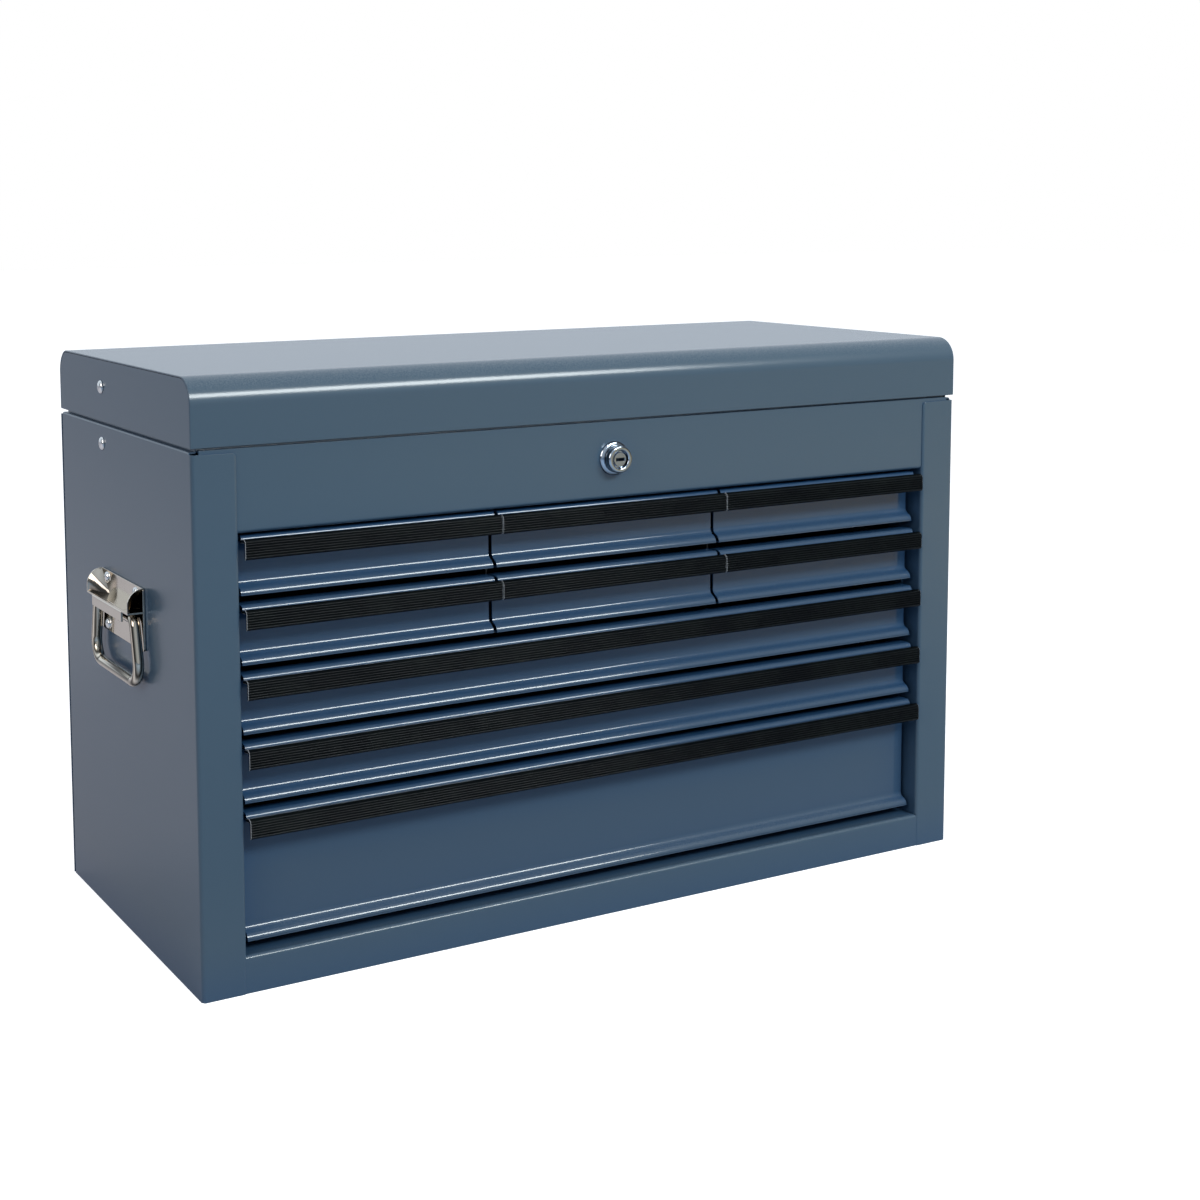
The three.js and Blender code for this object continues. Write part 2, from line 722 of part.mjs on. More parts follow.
function makeChannel() {
  const wall = backInside + overlap;
  const half = channelWidth / 2;
  const plan = bentSheet([
    [half + channelFlange, wall],
    [half, wall],
    [half, wall - channelDepth],
    [-half, wall - channelDepth],
    [-half, wall],
    [-half - channelFlange, wall],
  ], caseSheet, sheetBend, 1);
  const slotHalf = hookWidth / 2 + hookSpace / 2;
  const slots = rowArms.map((z) => block([-slotHalf, slotHalf],
    [channelFace - overrun, channelInside + joinGap],
    [z - rodTravel - hookSpace, z + hookThickness + hookSpace / 2]));
  const channelEnd = shoulder - channelTop;
  const tab = alongX(bentSheet([
    [channelInside, channelEnd - channelTab],
    [channelInside, channelEnd],
    [channelInside - channelTabReach, channelEnd + channelTabReach],
  ], caseSheet, sheetBend, 1), -half + sheetBend, half - sheetBend);
  return join(cut(alongZ(plan, channelBottom, channelEnd), slots), tab);
}

// A rod with one hook for each row of drawers
function makeRod() {
  const rodFace = channelInside + rodSpace;
  const rodBack = rodFace + rodThickness;
  const bar = block([-rodWidth / 2, rodWidth / 2], [rodFace, rodBack],
    [channelBottom + rodTravel + hookSpace, shoulder + rodRise]);
  const hook = alongX([
    [rodFace + overlap, hookThickness],
    [fingerFront, hookThickness],
    [fingerFront, -hookFinger],
    [fingerBack, -hookFinger],
    [fingerBack, 0],
    [rodFace + overlap, 0],
  ], -hookWidth / 2, hookWidth / 2);
  return join(bar, rowArms.map((z) => moved(hook, 0, 0, z)));
}

// Lid: one sheet bent over the front, top and back, with an end cap in each end
function makeLidTop() {
  const lidBend = lidRadius - caseSheet;
  const section = bentSheet([
    [back, lidEdge],
    [back, lidTop, lidBend],
    [front, lidTop, lidBend],
    [front, lidEdge],
  ], caseSheet, sheetBend, 7);
  const inner = floorEdge - capFlange;
  const hem = [[front + caseSheet - overlap, front + 2 * caseSheet],
    [back - 2 * caseSheet, back - caseSheet + overlap]]
    .map((span) => block([-inner, inner], span, [lidEdge, lidEdge + lidHem]));
  return join(alongX(section, -right, right), hem);
}

function makeLidCap() {
  const inset = caseSheet + joinGap;
  const capBend = lidRadius - inset;
  const path = [
    [back - inset, lidEdge],
    [back - inset, lidTop - inset, capBend - caseSheet],
    [front + inset, lidTop - inset, capBend - caseSheet],
    [front + inset, lidEdge],
  ];
  const corner = (i) => roundedCorner(path.map(([a, b]) => [a, b]), i, capBend, 7);
  const outline = [path[0].slice(0, 2), ...corner(1), ...corner(2), path[3].slice(0, 2)];
  const plate = alongX(outline, wallInside, right);
  const flange = alongX(bentSheet(path, caseSheet, sheetBend, 7),
    wallInside - capFlange, wallInside + overlap);
  const hole = alongX(circle(stayY, stayLidZ, stayRivet + joinGap, 10),
    right - overrun, right + overrun);
  return cut(join(plate, flange), hole);
}

// Piano hinge: two leaves with turns of knuckles round one pin
const hingeY = back + joinGap + hingeBarrel;
const hingeZ = shoulder + lidSeam / 2;
const knuckleGap = joinGap;

function makeHingeLeaf(up) {
  const knuckle = hingeWidth / (2 * knucklePairs);
  const inner = hingeZ + up * (hingeBarrel + joinGap);
  const outer = hingeZ + up * (lidSeam / 2 + hingeLeaf);
  const plate = block([-hingeWidth / 2, hingeWidth / 2],
    [back + joinGap, back + joinGap + hingeSheet], [inner, outer].sort((a, b) => a - b));
  const barrel = circle(hingeY, hingeZ, hingeBarrel, 8);
  const bore = circle(hingeY, hingeZ, hingePin + hingePlay, 6);
  const neck = rectangle(back + joinGap, back + joinGap + hingeSheet,
    ...[hingeZ + up * hingePin, inner + up * overlap].sort((a, b) => a - b));
  const knuckles = Array.from({ length: knucklePairs }, (_, i) => {
    const from = -hingeWidth / 2 + (2 * i + (up > 0 ? 1 : 0)) * knuckle;
    const [x0, x1] = [from + knuckleGap / 2, from + knuckle - knuckleGap / 2];
    return cut(join(alongX(barrel, x0, x1), alongX(neck, x0, x1)),
      alongX(bore, x0 - overrun, x1 + overrun));
  });
  return join(plate, knuckles);
}

function makeHingePin() {
  return alongX(circle(hingeY, hingeZ, hingePin, 6), -hingeWidth / 2, hingeWidth / 2);
}

// Lid stays. The links of one side lie in two planes inside the dust rim.
const linkOuter = rimInside - staySpace;
const lowerLink = [linkOuter - stayThickness, linkOuter];
const upperLink = lowerLink.map((x) => x - stayThickness - joinGap);
const pivotHalf = (stayLidZ - stayCaseZ) / 2;
const elbow = [stayY - Math.sqrt(stayLink ** 2 - pivotHalf ** 2), stayCaseZ + pivotHalf];

function makeLink(from, to, [x0, x1], holes) {
  const [dy, dz] = [to[0] - from[0], to[1] - from[1]];
  const heading = Math.atan2(dz, dy);
  const capEnd = ([y, z], start) => Array.from({ length: 7 }, (_, i) => {
    const angle = heading + start + (i / 6) * Math.PI;
    return [y + stayWidth / 2 * Math.cos(angle), z + stayWidth / 2 * Math.sin(angle)];
  });
  const outline = [...capEnd(to, -Math.PI / 2), ...capEnd(from, Math.PI / 2)];
  const bores = holes.map(([y, z]) => alongX(circle(y, z, stayRivet + joinGap, 8),
    x0 - overrun, x1 + overrun));
  return cut(alongX(outline, x0, x1), bores);
}

function makeLowerLink() {
  const button = alongX(circle(...elbow, stayRivet + joinGap, 8),
    lowerLink[1] - overlap, lowerLink[1] + stayButton);
  return join(makeLink([stayY, stayCaseZ], elbow, lowerLink, [[stayY, stayCaseZ]]), button);
}

function makeUpperLink() {
  const button = alongX(circle(...elbow, stayCollar, 8),
    upperLink[0] - stayButton, upperLink[0] + overlap);
  return join(makeLink([stayY, stayLidZ], elbow, upperLink, [[stayY, stayLidZ]]), button);
}

// A stay rivet: domed head outside, spacer inside, then the link and a clinched head
function makeStayRivet(z, [linkIn, linkOut]) {
  const seat = right + joinGap;
  const profile = [
    [0, linkIn - joinGap - stayButton],
    [stayCollar, linkIn - joinGap - stayButton],
    [stayCollar, linkIn - joinGap],
    [stayRivet, linkIn - joinGap],
    [stayRivet, linkOut + joinGap],
    [stayCollar, linkOut + joinGap],
    [stayCollar, wallInside - joinGap],
    [stayRivet, wallInside - joinGap],
    [stayRivet, seat],
    [stayHead, seat],
    [stayHead * 3 / 4, seat + stayHeadHeight * 2 / 3],
    [0, seat + stayHeadHeight],
  ];
  return moved(turnedX(profile, 8), 0, stayY, z);
}

function makeHandleRivet(y, z) {
  const seat = right + joinGap + handleSheet - overlap;
  const inside = wallInside - joinGap;
  const profile = [
    [0, inside],
    [handleRivetShank, inside],
    [handleRivetShank, seat],
    [handleRivetHead, seat],
    [handleRivetHead * 3 / 4, seat + handleRivetHeight],
    [0, seat + overlap + handleRivetHeight],
  ];
  return moved(turnedX(profile, 8), 0, y, z);
}

// Key lock: flanged barrel with a nut behind the rail, and the plug that carries the cam
const lockZ = openingTop + topRailHeight / 2;
const lockFront = railFace - lockReach;
const lockRear = railBack + lockDepth;

function makeLockBody() {
  const flangeBack = railFace - joinGap;
  const nutFace = railBack + joinGap;
  const profile = [
    [lockBore, lockRear],
    [lockShank, lockRear],
    [lockShank, nutFace + lockNutHeight],
    [lockNut, nutFace + lockNutHeight],
    [lockNut, nutFace],
    [lockShank, nutFace],
    [lockShank, flangeBack],
    [lockFlange, flangeBack],
    [lockFlange - lockFlangeHeight, flangeBack - lockFlangeHeight],
    [lockCollar, flangeBack - lockFlangeHeight],
    [lockCollar, lockFront + lockChamfer],
    [lockCollar - lockChamfer, lockFront],
    [lockBore + lockChamfer, lockFront],
    [lockBore, lockFront + lockChamfer],
    [lockBore, lockRear],
  ];
  return moved(turnedY(profile.reverse(), 16), 0, 0, lockZ);
}

function makeLockPlug() {
  const radius = lockBore - plugClearance;
  const camFront = lockRear + camBehind;
  const body = turnedY([[0, lockFront + plugInset], [radius, lockFront + plugInset],
    [radius, camFront + overlap], [0, camFront + overlap]], 16);
  const keyhole = block([-keyholeWidth / 2, keyholeWidth / 2],
    [lockFront - overrun, lockFront + plugInset + keyholeDepth],
    [-keyholeHeight / 2, keyholeHeight / 2]);
  const camHalf = camWidth / 2;
  const cam = alongY([
    [camHalf, -camHalf], [camHalf, camHalf], [camHookWidth - camLength, camHalf],
    [camHookWidth - camLength, camHook], [-camLength, camHook], [-camLength, -camHalf],
  ], camFront, camFront + camThickness);
  return moved(join(cut(body, keyhole), cam), 0, 0, lockZ);
}

// The strike hangs from the lid beside the lock. The cam swings up, and its hooked end comes
// over the ledge at the foot of the strike.
function makeStrike() {
  const flangeFace = front + 2 * caseSheet + joinGap;
  const legFront = front + rimInset + caseSheet + strikeInside;
  const top = lidEdge + strikeRise;
  const step = shoulder + rimHeight + strikeInside;
  const camMiddle = lockRear + camBehind + camThickness / 2;
  const foot = lockZ + strikeLedgeRise;
  const leg = alongX([
    [flangeFace, top], [flangeFace, step], [legFront, step], [legFront, foot],
    [legFront + strikeDepth, foot], [legFront + strikeDepth, step],
    [legFront + strikeDepth / 2, top],
  ], strikeOffset, strikeOffset + strikeSheet);
  const ledge = block([strikeOffset - strikeLedge, strikeOffset + overlap],
    [camMiddle - strikeLedgeDepth / 2, camMiddle + strikeLedgeDepth / 2],
    [foot, foot + strikeSheet]);
  const flange = block([strikeOffset, strikeOffset + strikeFlange],
    [flangeFace, flangeFace + strikeSheet], [step, top]);
  return join(leg, ledge, flange);
}

// Handle plate: two riveted bands, a shelf with a hanging band in front of the bail, and a
// rounded ear at each end of the shelf
function makeHandleBracket() {
  const plateIn = right + joinGap;
  const plateOut = plateIn + handleSheet;
  const tip = right + handleReach;
  const half = handleLength / 2;
  const shelfTop = handleTop - shelfDrop;
  const plate = alongX(roundedOutline(rectangle(-half, half, handleBottom, handleTop),
    handleSheet, 2), plateIn, plateOut);
  const shelf = block([plateOut - overlap, tip], [-half, half],
    [shelfTop - handleSheet, shelfTop]);
  const band = block([tip - handleSheet, tip], [-bandLength / 2, bandLength / 2],
    [shelfTop - bandDrop, shelfTop]);
  const rivets = handleRivets.map(([y, z]) => makeHandleRivet(y, z));
  return join(plate, shelf, band, makeEar(1), makeEar(-1), rivets);
}

// An ear is a curved web from the plate and the shelf out to its rounded rim
function makeEar(side) {
  const tip = right + handleReach - handleSheet / 4;
  const foot = right + joinGap + handleSheet - overlap;
  const shelfTop = handleTop - shelfDrop;
  const base = shelfTop - overlap;
  const radius = tip - foot;
  const end = handleLength / 2 - handleSheet;
  const chords = 6;
  const rim = [
    ...Array.from({ length: chords + 1 }, (_, i) => {
      const angle = Math.PI / 2 * (1 - i / chords);
      return [tip - radius * (1 - Math.cos(angle)), handleTop - radius * (1 - Math.sin(angle))];
    }),
    [tip, base],
  ];
  const points = [];
  rim.forEach(([x, z], i) => {
    const share = i / (rim.length - 1);
    const footZ = THREE.MathUtils.lerp(handleTop, base, Math.min(1, 2 * share));
    const footX = THREE.MathUtils.lerp(foot, tip - handleSheet, Math.max(0, 2 * share - 1));
    const footY = end - earFold * (1 - Math.abs(2 * share - 1));
    points.push([x, end, z], [footX, footY, footZ]);
  });
  const skin = points.concat(points.map(([x, y, z]) => [x, y + handleSheet, z]));
  const n = points.length;
  const faces = [];
  for (let i = 0; i + 3 < n; i += 2) {
    faces.push([i, i + 1, i + 3], [i, i + 3, i + 2]);
    faces.push([n + i, n + i + 3, n + i + 1], [n + i, n + i + 2, n + i + 3]);
    faces.push([i, i + 2, n + i + 2], [i, n + i + 2, n + i]);
    faces.push([i + 1, n + i + 3, i + 3], [i + 1, n + i + 1, n + i + 3]);
  }
  faces.push([0, n, n + 1], [0, n + 1, 1]);
  faces.push([n - 2, n - 1, 2 * n - 1], [n - 2, 2 * n - 1, 2 * n - 2]);
  const turned = side > 0 ? faces : faces.map(([a, b, c]) => [a, c, b]);
  const geometry = new THREE.BufferGeometry();
  geometry.setAttribute('position', new THREE.Float32BufferAttribute(
    skin.flatMap(([x, y, z]) => [x, side * y, z]), 3));
  geometry.setIndex(turned.flat());
  return toSolid(geometry);
}

// Bail: one wire, bent to a trapezium, whose ends meet under the shelf
const bailX = right + joinGap + handleSheet + bailPlay + bailWire;
const bailZ = handleTop - shelfDrop - handleSheet - bailPlay - bailWire;

function makeBail() {
  const outline = [
    [bailEndGap / 2, 0], [bailTopHalf, 0], [bailBottomHalf, -bailDrop],
    [-bailBottomHalf, -bailDrop], [-bailTopHalf, 0], [-bailEndGap / 2, 0],
  ];
  const bends = [0, bailTopBend, bailBottomBend, bailBottomBend, bailTopBend, 0];
  const line = outline.flatMap((_, i) => roundedCorner(outline, i, bends[i], 3));
  const path = new WirePath(line.map(([y, z]) => new THREE.Vector3(0, y, z)));
  const wire = new THREE.Shape(circle(0, 0, bailWire, 8).map(([a, b]) =>
    new THREE.Vector2(a, b)));
  const geometry = new THREE.ExtrudeGeometry(wire,
    { steps: line.length - 1, extrudePath: path, bevelEnabled: false });
  return toSolid(geometry);
}

// The scene
const chest = new THREE.Group();

function place(name, solid, material, parent = chest) {
  const mesh = new THREE.Mesh(toGeometry(solid), material);
  mesh.name = name;
  parent.add(mesh);
  return mesh;
}

// The same piece on both sides of the chest
function placePair(name, solid, material) {
  place(`left_${name}`, mirrored(solid), material);
  place(`right_${name}`, solid, material);
}

placePair('side_panel', makeSidePanel(), paint);
place('back_panel', makeBackPanel(), paint);
place('bottom_panel', makeFloor(0), paint);
place('top_rail', makeTopRail(), paint);
place('bottom_rail', makeBottomRail(), paint);
place('till_floor', makeTillFloor(), paint);
place('drawer_shelf', makeShelf(), paint);
placePair('divider', makeDivider(), zinc);
placePair('slide_rack', makeSlideRack(), zinc);
const columnNames = ['left', 'middle', 'right'];
columnNames.forEach((name, i) => {
  place(`${name}_lock_rod`, moved(makeRod(), rodColumns[i], 0, 0), zinc);
});

// Drawers, row by row from the top, each in a group of its own
function placeDrawer(name, row, x, panel, height, runner) {
  const drawer = new THREE.Group();
  drawer.position.set(x, front, rowBottoms[row]);
  chest.add(drawer);
  place(`${name}_drawer`, makeDrawer(panel, height, runner), frontPaint, drawer);
  place(`${name}_pull`, makePull(panel, height), pullBlack, drawer);
  return drawer;
}

const rowNames = ['top', 'second', 'third', 'fourth', 'bottom'];
rowNames.forEach((rowName, row) => {
  if (row < smallRows) {
    columnNames.forEach((columnName, column) => placeDrawer(`${rowName}_${columnName}`, row,
      (column - (columnCount - 1) / 2) * columnPitch, smallPanel, shallowFront, smallRunner));
    return;
  }
  const drawer = placeDrawer(rowName, row, 0, widePanel, rowHeights[row], wideRunner);
  const [leftSlide, rightSlide] = bothSides(middleSlide(wideSide));
  place(`${rowName}_left_slide`, leftSlide, zinc, drawer);
  place(`${rowName}_right_slide`, rightSlide, zinc, drawer);
});

place('lid_top', makeLidTop(), paint);
placePair('lid_cap', makeLidCap(), paint);
place('hinge_case_leaf', makeHingeLeaf(-1), zinc);
place('hinge_lid_leaf', makeHingeLeaf(1), zinc);
place('hinge_pin', makeHingePin(), zinc);
place('lid_strike', makeStrike(), zinc);
place('lock_body', makeLockBody(), chrome);
place('lock_plug', makeLockPlug(), chrome);
placePair('lower_stay', makeLowerLink(), zinc);
placePair('upper_stay', makeUpperLink(), zinc);
placePair('case_stay_rivet', makeStayRivet(stayCaseZ, lowerLink), zinc);
placePair('lid_stay_rivet', makeStayRivet(stayLidZ, upperLink), zinc);
placePair('handle_bracket', makeHandleBracket(), chrome);
const bail = makeBail();
place('left_handle_bail', bail, chrome).position.set(-bailX, 0, bailZ);
place('right_handle_bail', bail, chrome).position.set(bailX, 0, bailZ);

export default chest;
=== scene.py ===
# %% [markdown]
# # A machinist tool chest, dressed over its measured frame
# The chest is bent from thin steel sheet and sprayed with glossy slate-blue enamel. Its nine
# drawers have ribbed black pulls, a key lock sits in the top rail, and a plated drop handle is
# riveted to each side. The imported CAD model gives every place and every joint. This script puts
# finer surfaces over it: rounded bends, ribs, wire, turned lock parts, and paint with a little
# orange peel. Everything is in metres, with X to the right, Y to the back and Z up.

import json
import math

import bmesh
import bpy
import numpy as np
from mathutils import Matrix, Vector


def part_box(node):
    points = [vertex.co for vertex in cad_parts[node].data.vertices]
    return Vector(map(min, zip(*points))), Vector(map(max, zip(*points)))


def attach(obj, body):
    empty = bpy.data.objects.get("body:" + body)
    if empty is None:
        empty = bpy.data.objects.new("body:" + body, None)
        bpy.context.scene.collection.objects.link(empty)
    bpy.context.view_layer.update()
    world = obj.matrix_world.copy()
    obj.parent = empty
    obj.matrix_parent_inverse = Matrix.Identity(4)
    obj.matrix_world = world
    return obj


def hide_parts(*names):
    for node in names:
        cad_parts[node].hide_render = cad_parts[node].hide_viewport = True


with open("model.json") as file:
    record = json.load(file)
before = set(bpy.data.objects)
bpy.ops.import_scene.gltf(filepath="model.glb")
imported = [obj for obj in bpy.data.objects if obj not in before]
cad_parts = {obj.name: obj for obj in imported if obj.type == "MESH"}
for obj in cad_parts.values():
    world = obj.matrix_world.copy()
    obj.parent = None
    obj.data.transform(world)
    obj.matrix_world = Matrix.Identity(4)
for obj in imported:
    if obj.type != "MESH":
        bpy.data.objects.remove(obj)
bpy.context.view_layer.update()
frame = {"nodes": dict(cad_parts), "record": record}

# %% [markdown]
# ## The camera
# The photograph looks at the chest from the left, a little above its lid, with a long lens. The
# uprights are parallel in it, so the real camera was held nearly level and its lens or the print
# was shifted. The same is done here with a small tilt and a shift of the lens. The place and the
# turns come from a fit of the corners of the case, the lid and the drawer fronts.


# %% Camera
def new_object(name, data):
    """An object for its data, linked into the scene."""
    thing = bpy.data.objects.new(name, data)
    bpy.context.scene.collection.objects.link(thing)
    return thing


CAMERA_PLACE = (-0.7517, -1.3158, 0.5369)
YAW, TILT, ROLL = -29.236, -5.853, -0.311
lens = bpy.data.cameras.new("studio_camera")
lens.sensor_width = 36
lens.lens = 56.675
lens.shift_x, lens.shift_y = 0.0833, -0.17
lens.clip_start, lens.clip_end = 0.05, 60
camera = new_object("studio_camera", lens)
facing = Matrix.Identity(4)
for degrees, axis in ((YAW, "Z"), (90 + TILT, "X"), (ROLL, "Z")):
    facing = facing @ Matrix.Rotation(math.radians(degrees), 4, axis)
camera.matrix_world = Matrix.Translation(CAMERA_PLACE) @ facing
bpy.context.scene.camera = camera
print("camera at", np.round(camera.location, 3).tolist())

# %% [markdown]
# ## The main sizes
# A chest is drawn from a few planes: the face of the front posts, the shoulder under the lid, the
# opening for the drawers and the rims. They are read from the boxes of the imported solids, so that
# each surface lands on the solid that it dresses, and sizes that no box gives are named. Profiles
# are written in mm, often as a depth behind the front, and turned into metres at the end.

# %% Sizes shared by many pieces
MM = 0.001
SHEET, THIN = 1.2 * MM, 1.0 * MM


def box_of(name):
    """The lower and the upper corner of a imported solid's box at rest, to 0.01 mm."""
    return [np.round(np.array(corner), 5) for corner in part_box(name)]


side_low, side_high = box_of("right_side_panel")
OPENING_HALF, FRONT = side_low[0], side_low[1]
RIGHT, RIM_TOP = side_high[0], side_high[2]
lid_low, lid_high = box_of("lid_top")
BACK, LID_TOP = lid_high[1], lid_high[2]
LID_EDGE = lid_low[2] - 0.8 * MM
rail_low, rail_high = box_of("top_rail")
RAIL_HALF, RAIL_FACE = rail_high[0], rail_low[1]
SHOULDER, POST_TOP = 374.8 * MM, 373 * MM
RIM_INSET = 4.5 * MM
print("half width", RIGHT, "front", FRONT, "shoulder", SHOULDER, "lid", LID_EDGE, "to", LID_TOP)

# %% [markdown]
# ## Bends, and a sheet's section
# Sheet metal turns a corner in an arc, and the arc is what catches the light. A bend could be a
# bevel modifier on a box, but here the section itself is worked out: each corner of a path is
# replaced by an arc that touches both legs, and the same path, moved by the sheet's thickness,
# is the other face. A short lead before and after each arc keeps the shading of the flats flat.


# %% Rounded paths and sheet sections
def arc_between(before, corner, after, radius, steps, lead=0.2 * MM):
    """Points of the circle that touches the legs corner-before and corner-after.

    The centre lies on the bisector at radius / sin(half angle), and the arc starts at
    radius / tan(half angle) along the first leg. One lead point is added on each leg.
    """
    u = (before - corner) / np.linalg.norm(before - corner)
    w = (after - corner) / np.linalg.norm(after - corner)
    half = np.arccos(np.clip(u @ w, -1, 1)) / 2
    bisector = (u + w) / np.linalg.norm(u + w)
    reach = radius / np.tan(half)
    centre = corner + bisector * radius / np.sin(half)
    start = corner + u * reach - centre
    turn = np.sign(start[0] * -bisector[1] + start[1] * bisector[0])
    angle = np.linspace(0, turn * (np.pi - 2 * half), steps + 1)[:, None]
    across = np.array([-start[1], start[0]])
    arc = centre + np.cos(angle) * start + np.sin(angle) * across
    return np.vstack([corner + u * (reach + lead), arc, corner + w * (reach + lead)])


def rounded_path(points, radii, steps=6):
    """The path through the points, with each inner corner replaced by its arc."""
    points = np.asarray(points, float)
    pieces = [points[:1]]
    for i in range(1, len(points) - 1):
        near, radius = points[i - 1 : i + 2], radii[i]
        pieces.append(arc_between(*near, radius, steps) if radius > 0 else points[i : i + 1])
    return np.vstack(pieces + [points[-1:]])


def moved_left(points, distance):
    """The path moved to its left: each leg moves along its normal, and corners are mitred."""
    points = np.asarray(points, float)
    legs = np.diff(points, axis=0)
    normals = np.stack([-legs[:, 1], legs[:, 0]], 1) / np.linalg.norm(legs, axis=1)[:, None]
    before = np.vstack([normals[:1], normals])
    after = np.vstack([normals, normals[-1:]])
    mitre = before + after
    mitre /= np.linalg.norm(mitre, axis=1)[:, None]
    return points + mitre * (distance / np.sum(mitre * after, axis=1))[:, None]


def sheet_section(points, thickness, bends, steps=6):
    """Closed outline of a bent sheet. The points are one face, and the metal lies on their left.

    The inside of each bend has the given radius, and its outside that radius plus the sheet.
    """
    points = np.asarray(points, float)
    bends = np.broadcast_to(bends, len(points)).astype(float)
    legs = np.diff(points, axis=0)
    turn = np.zeros(len(points))
    turn[1:-1] = legs[:-1, 0] * legs[1:, 1] - legs[:-1, 1] * legs[1:, 0]
    face = rounded_path(points, bends + np.where(turn > 0, thickness, 0), steps)
    other_bends = bends + np.where(turn > 0, 0, thickness)
    behind = rounded_path(moved_left(points, thickness), other_bends, steps)
    return np.vstack([face, behind[::-1]])


def rectangle(left, right, low, high):
    """The four corners of a rectangle, counter-clockwise from its lower left."""
    return np.array([[left, low], [right, low], [right, high], [left, high]])


def rounded_loop(half_x, y0, y1, radius, steps=6):
    """A closed rectangle with four arcs, without leads, counter-clockwise from its lower right."""
    angle = np.linspace(-np.pi / 2, 0, steps + 1)
    quarter = np.stack([np.cos(angle), np.sin(angle)], 1) * radius
    corners = np.array([[half_x - radius, y0 + radius], [half_x - radius, y1 - radius]])
    spin = np.array([[0, -1], [1, 0]])
    right_side = np.vstack([corners[0] + quarter, corners[1] + quarter @ spin.T])
    return np.vstack([right_side, right_side[::-1] * [-1, 1]])


bend_test = rounded_path([[0, 0], [10, 0], [10, 10]], [0, 3, 0])
print("a test bend starts", np.round(bend_test[2], 3), "and ends", np.round(bend_test[-3], 3))

# %% [markdown]
# ## From arrays to pieces
# A ring is a closed loop of points, and a row of rings makes a skin of four-sided faces. That one
# idea gives extruded sheet, turned parts, wire and pans. The helper below merges doubles, turns
# the faces outwards, marks sharp edges by their angle and hangs the piece on its body.


# %% Skins from rings, and finished pieces
def skin(rings, caps=True):
    """Quads between neighbouring rings. Corner (i, j) joins (i, j+1), (i+1, j+1), (i+1, j)."""
    rings = np.asarray(rings, float)
    count, around = rings.shape[:2]
    i, j = np.meshgrid(np.arange(count - 1), np.arange(around), indexing="ij")
    k = (j + 1) % around
    corners = [i * around + j, i * around + k, (i + 1) * around + k, (i + 1) * around + j]
    faces = np.stack(corners, -1).reshape(-1, 4).tolist()
    if caps:
        faces += [list(range(around))[::-1], list(range((count - 1) * around, count * around))]
    return rings.reshape(-1, 3), faces


def along(axis, outline, start, end):
    """A flat outline carried straight along one axis. Its two columns fill the other two axes."""
    outline = np.asarray(outline, float)
    order = {"x": [1, 2], "y": [0, 2], "z": [0, 1]}[axis]
    rings = np.zeros((2, len(outline), 3))
    rings[:, :, order] = outline
    rings[:, :, "xyz".index(axis)] = np.array([[start], [end]])
    return skin(rings)


def turned(profile, centre, axis, sides, caps=True):
    """A profile of radius and place, spun about a line: (radius cos t, radius sin t, place)."""
    profile = np.asarray(profile, float)
    t = np.linspace(0, 2 * np.pi, sides, endpoint=False)
    across = profile[:, :1] * np.cos(t), profile[:, :1] * np.sin(t)
    place = np.broadcast_to(profile[:, 1:], across[0].shape)
    layout = {"x": [place, *across], "y": [across[0], place, across[1]], "z": [*across, place]}
    return skin(np.stack(layout[axis], -1) + np.asarray(centre, float), caps)


def mirrored(part):
    """The same part on the other side of the plane x = 0, its faces turned back."""
    points, faces = part
    return points * [-1, 1, 1], [face[::-1] for face in faces]


def shifted(part, x=0, y=0, z=0):
    """The same part, with the three distances added to each point."""
    return part[0] + np.array([x, y, z]), part[1]


def joined(*parts):
    """Several skins as one list of points and faces."""
    starts = np.cumsum([0] + [len(points) for points, _ in parts])
    faces = [[v + int(s) for v in face] for s, (_, fs) in zip(starts, parts) for face in fs]
    return np.vstack([points for points, _ in parts]), faces


def end_edges(mesh, half, centre):
    """Bevel weight 1 for the edges that lie in either end plane of a piece along X."""
    points = np.empty(len(mesh.vertices) * 3)
    mesh.vertices.foreach_get("co", points)
    ends = np.empty(len(mesh.edges) * 2, int)
    mesh.edges.foreach_get("vertices", ends)
    away = (points[0::3] - centre)[ends.reshape(-1, 2)]
    weight = (np.abs(away.sum(axis=1)) > 2 * half - 1e-5).astype(float)
    mesh.attributes.new("bevel_weight_edge", "FLOAT", "EDGE").data.foreach_set("value", weight)


def small_bevel(thing, width, degrees):
    """Two segments on each edge sharper than the angle, with the flats' shading kept flat."""
    rounding = thing.modifiers.new("edge", "BEVEL")
    rounding.width, rounding.segments = width, 2
    rounding.limit_method, rounding.angle_limit = "ANGLE", math.radians(degrees)
    rounding.harden_normals = True
    return rounding


